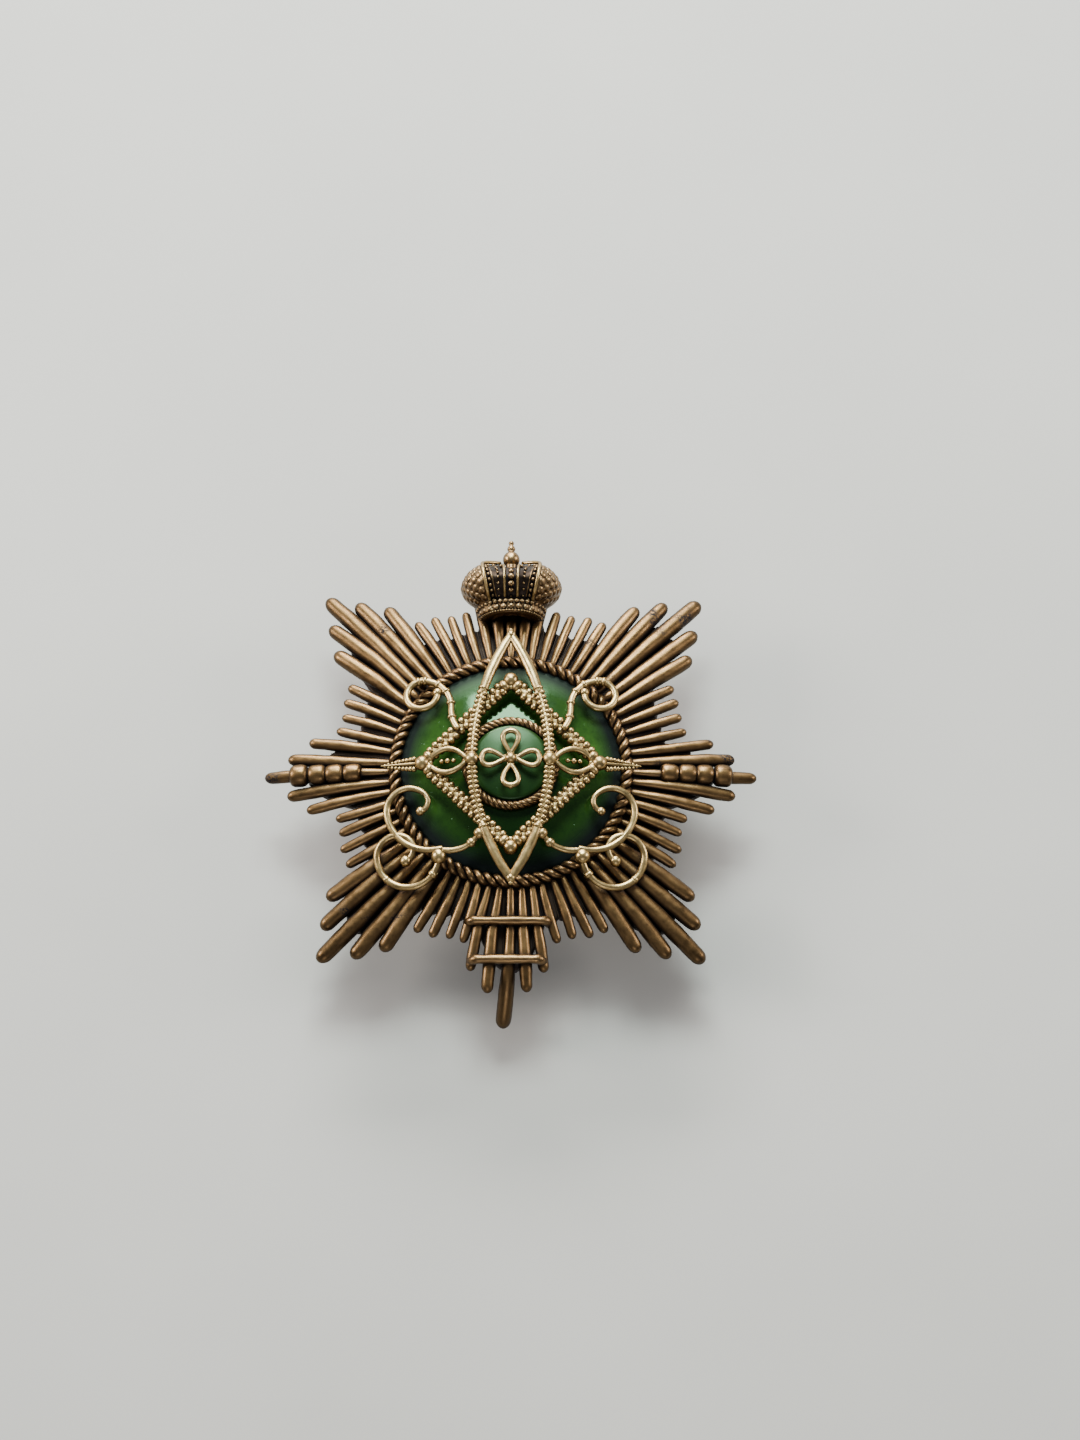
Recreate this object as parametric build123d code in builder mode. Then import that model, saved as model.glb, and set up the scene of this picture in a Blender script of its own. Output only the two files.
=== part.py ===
from build123d import *

import os
from math import cos, radians, sin, tan

# A rayed star badge with a green enamel dome, a crown and a wire ornament, held to cloth by a
# threaded post, a clamp plate and a knurled nut. It lies face up on its nut. Millimetres.
# X runs to the wearer's left tip (east), Y to the crown (north), Z out of the badge's face.

# ---- Fastening stack, from the surface up ----
NUT_HEIGHT = 2.6
NUT_RADIUS = 8.0
NUT_GRIPS = 40
NUT_CHAMFER = 0.35
GRIP_RADIUS = 0.36
GRIP_SETBACK = 0.12  # how far the middle of a groove lies outside the nut
RUNNING_GAP = 0.05
PLATE_THICKNESS = 0.8
PLATE_RADIUS = 11.2
PLATE_ROUNDING = 0.25
CLOTH_GAP = 3.55
POST_RADIUS = 1.5
POST_END = 0.3
POST_CHAMFER = 0.3
POST_CLEARANCE = 0.06
SPIKE_RADIUS = 0.5
SPIKE_X = 9.6
SPIKE_POINT = 2.2
SPIKE_TAPER = 0.45
SPIKE_TIP = 0.3
SPIKE_CLEARANCE = 0.08

PLATE_Z = NUT_HEIGHT + RUNNING_GAP
BACK_Z = PLATE_Z + PLATE_THICKNESS + CLOTH_GAP

# ---- Star ----
RAYS = 72
RAY_PITCH = 360 / RAYS
GROUP = 9  # rays from one point of the star to the next
CARDINAL_REACH = [25.0, 22.8, 20.9, 18.4, 18.4]
DIAGONAL_REACH = [27.3, 24.8, 22.5, 19.2, 18.9]
NORTH_REACH = 20.6  # the crown covers the north point
HUB_RADIUS = 12.4
BACK_FLAT_RADIUS = 11.9
WEB_THICKNESS = 1.1
WEB_SHORT_OF_TIP = 2.2
DROOP = 9.0  # degrees that the rays fall away from the hub
RAY_RISE = 0.15
ROOT_SECTION = 0.34
SHORT_SECTION = 0.52
SECTION_GROWTH = 0.042  # ray radius gained for each millimetre of reach past the short rays
HUB_Z = BACK_Z + WEB_THICKNESS
RAY_Z = HUB_Z + RAY_RISE

HOOK_BEND_Y = 21.0
HOOK_REACH = 25.0
HOOK_TIP_Z = 3.1
HOOK_SECTION = 0.8

UPPER_CROSSBAR = (-15.75, 8.7)  # Y, length
LOWER_CROSSBAR = (-19.65, 7.7)
CROSSBAR_SECTION = 0.48
CROSSBAR_RISE = 0.75  # how far its middle lies over the rays, as a share of its radius
CROSSBAR_DROP = 0.9
CROSSBAR_BEND = 0.5

BEADS = [(16.0, 0.93), (17.75, 1.0), (19.55, 1.06), (21.45, 1.15)]  # distance out, radius
BEAD_HALF_LENGTH = 0.98
BEAD_END = 0.6  # a bead's end disc as a share of its radius
BEAD_RISE = 0.4

# ---- Enamel centre ----
ROPE_RING_RADIUS = 11.75
ROPE_SECTION = 0.62
DISH_RADIUS = 11.05
DISH_RIM = 0.3
DISH_SAG = 1.9
ENAMEL_THICKNESS = 0.5
BOSS_RADIUS = 4.0
BOSS_HEIGHT = 0.35
BOSS_SAG = 0.45
BOSS_ENAMEL = 0.35
BOSS_STEM_RADIUS = 1.0
INNER_ROPE_SECTION = 0.48
INNER_ROPE_RADIUS = BOSS_RADIUS + INNER_ROPE_SECTION

# ---- Wire ornament ----
ORNAMENT_TOP = 11.75
ORNAMENT_DOME = 46.0
WIRE = 0.39
FINE_WIRE = 0.27
ARCH_WIRE = 0.48
BAR_WIDTH = 1.6
BAR_DEPTH = 0.8
BAR_ROUNDING = 0.3
DIAMOND = 8.9
DIAMOND_Z = 11.1
OVAL_HALF_WIDTH = 3.9
WAIST_BALL = 0.8
WAIST_GAP = 0.7
APEX_BALL = 0.5
CORNER_BALL = 0.8
CORNER_SETBACK = 0.72
SPINDLE = (0.7, 4.3)  # where it starts and ends, out from the diamond's corner
SPINDLE_WIDEST = 2.1
SPINDLE_HALF_WIDTH = 0.62
SPINDLE_END_HALF_WIDTH = 0.3
SPINDLE_HALF_THICKNESS = 0.32
TENDRIL_BOW = 1.25
TENDRIL_SPREAD = 0.15  # how far apart the pair ends, as a share of its bow
TENDRIL_BITE = 0.75  # where it ends inside a ball, as a share of the ball's radius
TENDRIL_LIFTS = (-0.15, 0.1, 0.2)  # above the oval, midway, and above the diamond
UPPER_RING = (9.0, 7.65)
UPPER_RING_RADIUS = 1.6
UPPER_START = (5.19, 3.57)
UPPER_HEADING = 55
UPPER_TURNS = [(4.0, 35), (3.4, -80), (UPPER_RING_RADIUS, -285)]
UPPER_BALL = 0.5
LOWER_HOOK = (10.1, -4.8)
LOWER_START = (7.0, -8.9)
LOWER_HEADING = -12
LOWER_TURNS = [(4.6, 92), (2.3, 150), (1.0, 120)]
LOWER_BALL = 0.46
FOOT_RING = (10.3, -9.3)
FOOT_BALL = (7.0, -9.2)
FOOT_START = (7.12, -9.6)
FOOT_HEADING = -85
FOOT_TURNS = [(3.2, 175), (2.1, 120), (1.3, 130)]
FOOT_BALLS = (0.72, 0.55)
FOOT_PIN = (7.68, -11.14)
SWAG_START = (2.8, -7.0, 11.7)
SWAG_MIDDLE = (4.4, -8.75, 11.15)
SWAG_INSET = 0.4
SWAG_RISE = 0.15
ARCH_TILT = 5.5
ARCH_Z = 12.45
NORTH_APEX = 13.8
SOUTH_APEX = -12.2
QUATREFOIL_Z = 12.65
PETAL_OFFSET = 1.75
PETAL_RADIUS = 1.1
CENTRE_BALL = 0.72
PIN_RADIUS = 0.4
PIN_HEAD_RADIUS = 0.65
PIN_HEAD = 0.3

# ---- Crown ----
CROWN_Z = 7.95
CROWN_WALL = 0.7
CROWN_PROFILE = [  # radius, Y
    (3.3, 16.7),
    (3.45, 17.8),
    (4.4, 18.7),
    (4.95, 19.9),
    (4.45, 21.1),
    (3.2, 21.95),
    (1.3, 22.35),
]
CROWN_BANDS = [(90, 24), (52, 7), (128, 7)]  # middle and spread, in degrees round the crown
CROWN_BAND_THICKNESS = 0.28
CROWN_RIM_HEIGHT = 1.15
CROWN_RIM_RADIUS = 3.6
PEARL = 0.26
PEARLS = 11
PEARLS_FROM = 14  # degrees round the crown
PEARL_BITE = 0.05
ORB_Y = 22.9
ORB_RADIUS = 0.85
ORB_RISE = 1.2
FINIAL_Y = 25.0
SPIRE_RADIUS = 0.42
SPIRE_TOP_RADIUS = 0.14
TIP_BEAD = 0.26
CROWN_SEAT_FRONT = 18.5
CROWN_SEAT_BACK = 19.1
CROWN_SEAT_RADIUS = 3.7
CROWN_SEAT_FOOT = 7.0
CROWN_SEAT_FOOT_HALF_WIDTH = 2.2
CROWN_SEAT_OVERLAP = 0.1  # how far the foot reaches up into the wall


def dome_top(z, radius, sag, at):
    """Height of a spherical cap with its rim at z, at a distance from its axis."""
    ball = (radius * radius + sag * sag) / (2 * sag)
    return z + sag - ball + (ball * ball - at * at) ** 0.5


# ---- Heights that follow ----
DISH_TOP = HUB_Z + DISH_RIM
ENAMEL_APEX = DISH_TOP + DISH_SAG + ENAMEL_THICKNESS
BOSS_FLOOR = dome_top(DISH_TOP + ENAMEL_THICKNESS, DISH_RADIUS, DISH_SAG, BOSS_RADIUS)
BOSS_TOP = ENAMEL_APEX + BOSS_HEIGHT


def reach_of(k):
    """How far ray k goes from the centre; ray 0 points east and rays count anticlockwise."""
    group = round(k / GROUP) % 8
    offset = abs(k - GROUP * round(k / GROUP))
    reach = CARDINAL_REACH[offset] if group % 2 == 0 else DIAGONAL_REACH[offset]
    return min(reach, NORTH_REACH) if group == 2 else reach


def section_of(reach):
    """Radius of a ray at its tip."""
    return SHORT_SECTION + SECTION_GROWTH * (reach - CARDINAL_REACH[-1])


def ray_axis_z(radius):
    """Height of a straight ray's axis at a distance from the centre."""
    return RAY_Z - (radius - HUB_RADIUS) * tan(radians(DROOP))


def tapered_ray(reach, section):
    """One ray towards +X: a cone with a ball tip, its axis falling away from the hub."""
    fall = radians(DROOP)
    along = (cos(fall), 0, -sin(fall))
    base = Plane(origin=(HUB_RADIUS, 0, RAY_Z), x_dir=along, z_dir=(0, -1, 0))
    length = (reach - HUB_RADIUS) / cos(fall)
    with BuildPart() as ray:
        with BuildSketch(base):
            with BuildLine():
                Polyline((0, 0), (0, ROOT_SECTION), (length - section, section))
                shoulder = length - section
                halfway = section * sin(radians(45))
                ThreePointArc((shoulder, section), (shoulder + halfway, halfway), (length, 0))
                Line((length, 0), (0, 0))
            make_face()
        revolve(axis=Axis(base.origin, base.x_dir))
    return ray


def make_star_base():
    """The cast star: a flat hub, a sloping web cut to the star's outline, and 72 rays on it."""
    outer = max(DIAGONAL_REACH)
    fall = (outer - HUB_RADIUS) * tan(radians(DROOP))
    outline = []
    for k in range(RAYS):
        gap = min(reach_of(k), reach_of((k + 1) % RAYS)) - WEB_SHORT_OF_TIP
        angle = radians((k + 0.5) * RAY_PITCH)
        outline.append((gap * cos(angle), gap * sin(angle)))
    straight = {}
    for k in range(RAYS):
        if k != RAYS * 3 // 4:  # the south ray is the hooked one, made below
            straight.setdefault(reach_of(k), []).append(k * RAY_PITCH)
    with BuildPart() as star:
        with BuildSketch(Plane.XZ):
            Polygon(
                (0, BACK_Z),
                (BACK_FLAT_RADIUS, BACK_Z),
                (outer, BACK_Z - fall),
                (outer, HUB_Z - fall),
                (HUB_RADIUS, HUB_Z),
                (0, HUB_Z),
                align=None,
            )
        revolve(axis=Axis.Z)
        with BuildSketch():
            Polygon(*outline, align=None)
        extrude(amount=HUB_Z + 1, mode=Mode.INTERSECT)
        for reach, angles in straight.items():
            ray = tapered_ray(reach, section_of(reach)).part
            add([ray.rotate(Axis.Z, angle) for angle in angles])
        add(make_hooked_ray().part)
        with Locations((0, 0, BACK_Z)):
            Cylinder(POST_RADIUS, 4 * WEB_THICKNESS, mode=Mode.SUBTRACT)
        with Locations((SPIKE_X, 0, BACK_Z), (-SPIKE_X, 0, BACK_Z)):
            Cylinder(SPIKE_RADIUS, 4 * WEB_THICKNESS, mode=Mode.SUBTRACT)
        with Locations(*[(x, y, BACK_Z) for x, y, _ in pin_tops()]):
            Cylinder(PIN_RADIUS, 6 * WEB_THICKNESS, mode=Mode.SUBTRACT)
    return star


def make_hooked_ray():
    """The south ray, which bends down towards the surface past the lower crossbar."""
    bend_z = ray_axis_z(HOOK_BEND_Y)
    root = Vector(0, -HUB_RADIUS, RAY_Z)
    bend = Vector(0, -HOOK_BEND_Y, bend_z)
    tip = Vector(0, -HOOK_REACH + HOOK_SECTION, HOOK_TIP_Z)
    with BuildPart() as ray:
        with BuildSketch(Plane(origin=root, z_dir=bend - root)):
            Circle(ROOT_SECTION)
        with BuildSketch(Plane(origin=bend, z_dir=bend - root)):
            Circle(HOOK_SECTION)
        loft()
        with BuildSketch(Plane(origin=bend, z_dir=tip - bend)):
            Circle(HOOK_SECTION)
        extrude(amount=(tip - bend).length)
        with Locations(bend, tip):
            Sphere(HOOK_SECTION)
    return ray


def scroll_height(place, x, y):
    """Height of a scroll's plane above (x, y), when that plane touches the ornament's dome at place."""
    touch = ORNAMENT_TOP - (place[0] ** 2 + place[1] ** 2) / (2 * ORNAMENT_DOME)
    return touch - (place[0] * (x - place[0]) + place[1] * (y - place[1])) / ORNAMENT_DOME


def pin_tops():
    """Where the ornament's rivets end, in the wires of the upper and foot scrolls."""
    upper = (UPPER_RING[0], UPPER_RING[1] + UPPER_RING_RADIUS)
    tops = []
    for place, (x, y) in ((UPPER_RING, upper), (FOOT_RING, FOOT_PIN)):
        tops += [(x, y, scroll_height(place, x, y)), (-x, y, scroll_height(place, x, y))]
    return tops


def ring(radius, section, z):
    """A plain round wire bent into a ring that lies level."""
    with BuildPart() as wire:
        with Locations((0, 0, z)):
            Torus(radius, section)
    return wire


def make_enamel_dish():
    """The domed metal seat under the enamel, with a short rim wall."""
    half = DISH_RADIUS / 2
    with BuildPart() as dish:
        with BuildSketch(Plane.XZ):
            with BuildLine():
                Line((DISH_RADIUS, HUB_Z), (DISH_RADIUS, DISH_TOP))
                ThreePointArc(
                    (DISH_RADIUS, DISH_TOP),
                    (half, dome_top(DISH_TOP, DISH_RADIUS, DISH_SAG, half)),
                    (0, DISH_TOP + DISH_SAG),
                )
                Polyline((0, DISH_TOP + DISH_SAG), (0, HUB_Z), (DISH_RADIUS, HUB_Z))
            make_face()
        revolve(axis=Axis.Z)
        Cylinder(BOSS_STEM_RADIUS, 4 * DISH_TOP, mode=Mode.SUBTRACT)
    return dish


def make_enamel_dome():
    """The green glass layer, as thick everywhere, that lies on the dish."""
    half = DISH_RADIUS / 2
    low = dome_top(DISH_TOP, DISH_RADIUS, DISH_SAG, half)
    apex = DISH_TOP + DISH_SAG
    glass = ENAMEL_THICKNESS
    with BuildPart() as enamel:
        with BuildSketch(Plane.XZ):
            with BuildLine():
                Line((DISH_RADIUS, DISH_TOP), (DISH_RADIUS, DISH_TOP + glass))
                ThreePointArc((DISH_RADIUS, DISH_TOP + glass), (half, low + glass), (0, apex + glass))
                Line((0, apex + glass), (0, apex))
                ThreePointArc((0, apex), (half, low), (DISH_RADIUS, DISH_TOP))
            make_face()
        revolve(axis=Axis.Z)
        Cylinder(BOSS_STEM_RADIUS, 4 * apex, mode=Mode.SUBTRACT)
    return enamel


def boss_arc(rim_z, inwards):
    """The spherical top of the raised centre, drawn from its rim to its axis or back."""
    points = [
        (BOSS_RADIUS, rim_z),
        (BOSS_RADIUS / 2, dome_top(rim_z, BOSS_RADIUS, BOSS_SAG, BOSS_RADIUS / 2)),
        (0, rim_z + BOSS_SAG),
    ]
    ThreePointArc(*(points if inwards else reversed(points)))


def make_boss_cup():
    """The metal cup of the raised centre, with the stem that goes through enamel and dish to the hub."""
    with BuildPart() as cup:
        with BuildSketch(Plane.XZ):
            with BuildLine():
                boss_arc(BOSS_TOP, inwards=True)
                Polyline(
                    (0, BOSS_TOP + BOSS_SAG),
                    (0, HUB_Z),
                    (BOSS_STEM_RADIUS, HUB_Z),
                    (BOSS_STEM_RADIUS, ENAMEL_APEX),
                    (BOSS_RADIUS, ENAMEL_APEX),
                    (BOSS_RADIUS, BOSS_TOP),
                )
            make_face()
        revolve(axis=Axis.Z)
    return cup


def make_boss_enamel():
    """The green glass on the raised centre."""
    glass_rim = BOSS_TOP + BOSS_ENAMEL
    with BuildPart() as glass:
        with BuildSketch(Plane.XZ):
            with BuildLine():
                Line((BOSS_RADIUS, BOSS_TOP), (BOSS_RADIUS, glass_rim))
                boss_arc(glass_rim, inwards=True)
                Line((0, glass_rim + BOSS_SAG), (0, BOSS_TOP + BOSS_SAG))
                boss_arc(BOSS_TOP, inwards=False)
            make_face()
        revolve(axis=Axis.Z)
    return glass


# ---- Wire ornament ----


def ornament_plane(x, y):
    """A plane that touches the ornament's shallow dome above (x, y), its X axis level with the badge."""
    z = ORNAMENT_TOP - (x * x + y * y) / (2 * ORNAMENT_DOME)
    return Plane(origin=(x, y, z), x_dir=(ORNAMENT_DOME, 0, -x), z_dir=(x, y, ORNAMENT_DOME))


def arc_chain(start, heading, turns, side):
    """Arcs that run on from each other: each (radius, degrees) turns left on the east side."""
    x, y = start
    for radius, turn in turns:
        facing = radians(heading + (90 if turn > 0 else -90))
        middle_x = x + radius * cos(facing)
        middle_y = y + radius * sin(facing)
        spokes = [facing + radians(180 + turn * share) for share in (0, 0.5, 1)]
        points = [(middle_x + radius * cos(spoke), middle_y + radius * sin(spoke)) for spoke in spokes]
        ThreePointArc(*[(side * px, py) for px, py in points])
        (x, y), heading = points[2], heading + turn


def curled_wire(side, place, start, heading, turns, balls):
    """A round wire bent on the ornament's dome, with a ball on each end whose radius isn't 0."""
    with BuildPart() as wire:
        with BuildLine(ornament_plane(side * place[0], place[1])) as route:
            arc_chain((start[0] - place[0], start[1] - place[1]), heading, turns, side)
        line = route.wires()[0]
        with BuildSketch(Plane(origin=line @ 0, z_dir=line % 0)):
            Circle(WIRE)
        sweep(path=line)
        for end, size in enumerate(balls):
            if size:
                with Locations(Plane(origin=line @ end, z_dir=line % end)):
                    Sphere(size)
    return wire


def make_upper_scroll(side):
    """Upper scroll: from the diamond's side up and over into a ring above the rope."""
    return curled_wire(side, UPPER_RING, UPPER_START, UPPER_HEADING, UPPER_TURNS, (0, UPPER_BALL))


def make_lower_scroll(side):
    """Lower scroll: an open hook over the rope ring, with a small ball at its inner end."""
    return curled_wire(side, LOWER_HOOK, LOWER_START, LOWER_HEADING, LOWER_TURNS, (0, LOWER_BALL))


def make_foot_scroll(side):
    """Foot scroll: a wide hook outside the rope ring, with a ball at each end."""
    return curled_wire(side, FOOT_RING, FOOT_START, FOOT_HEADING, FOOT_TURNS, FOOT_BALLS)


def bowed_wire(points):
    """A fine wire along the arc through three points."""
    with BuildPart() as wire:
        with BuildLine() as route:
            ThreePointArc(*points)
        line = route.wires()[0]
        with BuildSketch(Plane(origin=line @ 0, z_dir=line % 0)):
            Circle(FINE_WIRE)
        sweep(path=line)
    return wire


def make_swag(side):
    """The fine wire that hangs from the pointed oval to the foot scroll's ball."""
    end_z = scroll_height(FOOT_RING, *FOOT_BALL) + SWAG_RISE
    end = (FOOT_BALL[0] - SWAG_INSET, FOOT_BALL[1] + SWAG_RISE, end_z)
    return bowed_wire([(side * x, y, z) for x, y, z in (SWAG_START, SWAG_MIDDLE, end)])


def make_diamond_bar(start, end):
    """One straight side of the diamond: a flat-backed bar as wide as two rows of beads."""
    along = Vector(*end) - Vector(*start)
    middle = (Vector(*start) + Vector(*end)) * 0.5
    with BuildPart() as bar:
        with BuildSketch(Plane(origin=middle, x_dir=along, z_dir=(0, 0, 1))):
            SlotOverall(along.length - 2 * CORNER_SETBACK, BAR_WIDTH)
        extrude(amount=BAR_DEPTH / 2, both=True)
        fillet(bar.edges().group_by(Axis.Z)[-1], BAR_ROUNDING)
    return bar


def make_arch(apex):
    """Half of the pointed oval: two bowed wires from the waist balls to a point, tilted down to it."""
    up = 1 if apex > 0 else -1
    lean = radians(ARCH_TILT) * up
    plane = Plane(origin=(0, 0, ARCH_Z), x_dir=(1, 0, 0), z_dir=(0, sin(lean), cos(lean)))
    height = abs(apex) / cos(lean)
    bow = (OVAL_HALF_WIDTH**2 + height**2) / (2 * OVAL_HALF_WIDTH)
    heights = (WAIST_GAP, height / 2, height)
    points = [(OVAL_HALF_WIDTH - bow + (bow * bow - y * y) ** 0.5, y * up) for y in heights]
    with BuildPart() as arch:
        for side in (1, -1):
            with BuildLine(plane) as route:
                ThreePointArc(*[(side * x, y) for x, y in points])
            line = route.wires()[0]
            with BuildSketch(Plane(origin=line @ 0, z_dir=line % 0)):
                Circle(ARCH_WIRE)
            sweep(path=line)
        apex_place = plane.from_local_coords((0, height * up, 0))
        with Locations(Plane(origin=apex_place, z_dir=(0, 1, 0))):
            Sphere(APEX_BALL)
    return arch


def make_waist_ball(side):
    """The ball between the two halves of the pointed oval."""
    with BuildPart() as ball:
        with Locations((side * OVAL_HALF_WIDTH, 0, ARCH_Z)):
            Sphere(WAIST_BALL)
    return ball


def make_corner_balls():
    """Four balls that close the corners of the diamond."""
    with BuildPart() as balls:
        with Locations((0, 0, DIAMOND_Z)):
            with PolarLocations(DIAMOND, 4):
                Sphere(CORNER_BALL)
    return balls


def make_quatrefoil():
    """Four rings of fine wire round a ball, over the centre of the boss."""
    with BuildPart() as knot:
        with Locations((0, 0, QUATREFOIL_Z)):
            with PolarLocations(PETAL_OFFSET, 4):
                Torus(PETAL_RADIUS, FINE_WIRE)
            Sphere(CENTRE_BALL)
    return knot


def make_spindle(side):
    """A pointed leaf, flat below, that runs out over the rope ring from the diamond's corner."""
    start, tip = side * SPINDLE[0], (side * SPINDLE[1], 0)
    widest = side * SPINDLE_WIDEST
    with BuildPart() as leaf:
        with BuildSketch(ornament_plane(side * DIAMOND, 0)):
            with BuildLine():
                ThreePointArc(tip, (widest, SPINDLE_HALF_WIDTH), (start, SPINDLE_END_HALF_WIDTH))
                Line((start, SPINDLE_END_HALF_WIDTH), (start, -SPINDLE_END_HALF_WIDTH))
                ThreePointArc((start, -SPINDLE_END_HALF_WIDTH), (widest, -SPINDLE_HALF_WIDTH), tip)
            make_face()
        extrude(amount=SPINDLE_HALF_THICKNESS, both=True)
    return leaf


def make_tendrils(side):
    """The pair of fine bowed wires between the diamond's corner and the waist ball."""
    inner = OVAL_HALF_WIDTH + TENDRIL_BITE * WAIST_BALL
    outer = DIAMOND - TENDRIL_BITE * CORNER_BALL
    near_lift, middle_lift, far_lift = TENDRIL_LIFTS
    with BuildPart() as pair:
        for bow in (TENDRIL_BOW, -TENDRIL_BOW):
            near = (side * inner, TENDRIL_SPREAD * bow, ARCH_Z + near_lift)
            middle = (side * (inner + outer) / 2, bow, (ARCH_Z + DIAMOND_Z) / 2 + middle_lift)
            far = (side * outer, TENDRIL_SPREAD * bow, DIAMOND_Z + far_lift)
            add(bowed_wire([near, middle, far]).part)
    return pair


def make_ornament_pins():
    """Four rivets that hold the ornament to the star, with their heads behind the web."""
    upright = (Align.CENTER, Align.CENTER, Align.MIN)
    with BuildPart() as pins:
        for x, y, top in pin_tops():
            outer_edge = (x * x + y * y) ** 0.5 + PIN_HEAD_RADIUS
            back = BACK_Z - (outer_edge - BACK_FLAT_RADIUS) * tan(radians(DROOP))
            with Locations((x, y, back - PIN_HEAD)):
                Cylinder(PIN_HEAD_RADIUS, PIN_HEAD, align=upright)
                Cylinder(PIN_RADIUS, top - back + PIN_HEAD, align=upright)
    return pins


# ---- Badges on the points ----


def make_bead_row(side):
    """Four squat beads, growing outwards, that ride on the long side ray."""
    fall = radians(DROOP)
    outwards = (side * cos(fall), 0, -sin(fall))
    with BuildPart() as row:
        for radius, size in BEADS:
            place = (side * radius, 0, ray_axis_z(radius) + BEAD_RISE)
            with BuildSketch(Plane(origin=place, x_dir=outwards, z_dir=(0, 1, 0))):
                inner = (-BEAD_HALF_LENGTH, BEAD_END * size)
                outer = (BEAD_HALF_LENGTH, BEAD_END * size)
                with BuildLine():
                    ThreePointArc(inner, (0, size), outer)
                    Polyline(outer, (BEAD_HALF_LENGTH, 0), (-BEAD_HALF_LENGTH, 0), inner)
                make_face()
            revolve(axis=Axis(place, outwards))
    return row


def make_crossbar(y, length):
    """A round bar across the south rays, with its ends turned down to the web."""
    z = ray_axis_z(abs(y)) + section_of(abs(y)) + CROSSBAR_RISE * CROSSBAR_SECTION
    half = length / 2 - CROSSBAR_SECTION
    foot = z - CROSSBAR_DROP
    with BuildPart() as bar:
        with BuildLine() as route:
            corners = [(-half, y, foot), (-half, y, z), (half, y, z), (half, y, foot)]
            FilletPolyline(*corners, radius=CROSSBAR_BEND)
        line = route.wires()[0]
        with BuildSketch(Plane(origin=line @ 0, z_dir=line % 0)):
            Circle(CROSSBAR_SECTION)
        sweep(path=line)
    return bar


# ---- Crown ----


def crown_section(offset):
    """The crown's half outline moved out by offset, closed to the crown's axis."""
    points = [(r + offset, y) for r, y in CROWN_PROFILE]
    top = CROWN_PROFILE[-1][1] + offset
    points[-1] = (CROWN_PROFILE[-1][0], top)
    Spline(*points)
    Polyline(points[-1], (0, top), (0, points[0][1]), points[0])


def crown_plane(angle):
    """The plane through the crown's axis at an angle up from the east side."""
    return Plane(
        origin=(0, 0, CROWN_Z),
        x_dir=(cos(radians(angle)), 0, sin(radians(angle))),
        z_dir=(-sin(radians(angle)), 0, cos(radians(angle))),
    )


CROWN_AXIS = Axis((0, 0, CROWN_Z), (0, -1, 0))


def make_crown_shell():
    """The front half of a round crown, hollow behind and open below."""
    with BuildPart() as crown:
        with BuildSketch(Plane.XY.offset(CROWN_Z)):
            with BuildLine():
                crown_section(0)
            make_face()
        revolve(axis=CROWN_AXIS, revolution_arc=180)
        with BuildSketch(Plane.XY.offset(CROWN_Z)):
            with BuildLine():
                crown_section(-CROWN_WALL)
            make_face()
        revolve(axis=CROWN_AXIS, revolution_arc=180, mode=Mode.SUBTRACT)
    return crown


def make_crown_bands():
    """Three raised bands over the crown's shell: one in the middle and one on each side of it."""
    with BuildPart() as bands:
        for middle, spread in CROWN_BANDS:
            start = crown_plane(middle - spread / 2)
            with BuildSketch(start):
                with BuildLine():
                    crown_section(CROWN_BAND_THICKNESS)
                make_face()
                with BuildLine():
                    crown_section(0)
                make_face(mode=Mode.SUBTRACT)
            revolve(axis=CROWN_AXIS, revolution_arc=spread)
    return bands


def make_crown_rim():
    """The band round the crown's foot."""
    foot = CROWN_PROFILE[0]
    with BuildPart() as rim:
        with BuildSketch(Plane.XY.offset(CROWN_Z)):
            with Locations((foot[0], foot[1])):
                Rectangle(CROWN_RIM_RADIUS - foot[0], CROWN_RIM_HEIGHT, align=(Align.MIN, Align.MIN))
        revolve(axis=CROWN_AXIS, revolution_arc=180)
    return rim


def make_crown_pearls():
    """Small balls along the rim's upper edge."""
    y = CROWN_PROFILE[0][1] + CROWN_RIM_HEIGHT + PEARL
    reach = CROWN_RIM_RADIUS - PEARL_BITE
    with BuildPart() as pearls:
        for n in range(PEARLS):
            angle = radians(PEARLS_FROM + n * (180 - 2 * PEARLS_FROM) / (PEARLS - 1))
            with Locations((reach * cos(angle), y, CROWN_Z + reach * sin(angle))):
                Sphere(PEARL)
    return pearls


def make_crown_orb():
    """The ball on top of the crown and the little spire on it."""
    z = CROWN_Z + ORB_RISE
    spire = FINIAL_Y - TIP_BEAD - ORB_Y
    with BuildPart() as orb:
        with Locations(Plane(origin=(0, ORB_Y, z), z_dir=(0, 1, 0))):
            Sphere(ORB_RADIUS)
            Cone(SPIRE_RADIUS, SPIRE_TOP_RADIUS, spire, align=(Align.CENTER, Align.CENTER, Align.MIN))
        with Locations(Plane(origin=(0, FINIAL_Y - TIP_BEAD, z), z_dir=(0, 1, 0))):
            Sphere(TIP_BEAD)
    return orb


def make_crown_seat():
    """The wall inside the crown, with the foot that stands on the star's web."""
    thickness = CROWN_SEAT_BACK - CROWN_SEAT_FRONT
    with BuildPart() as seat:
        with BuildSketch(Plane.XY.offset(CROWN_Z)):
            with Locations((0, CROWN_SEAT_FRONT)):
                Rectangle(CROWN_SEAT_RADIUS, thickness, align=(Align.MIN, Align.MIN))
        revolve(axis=CROWN_AXIS, revolution_arc=180)
        with Locations((0, CROWN_SEAT_FRONT, CROWN_SEAT_FOOT)):
            Box(
                2 * CROWN_SEAT_FOOT_HALF_WIDTH,
                thickness,
                CROWN_Z - CROWN_SEAT_FOOT + CROWN_SEAT_OVERLAP,
                align=(Align.CENTER, Align.MIN, Align.MIN),
            )
    return seat


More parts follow.
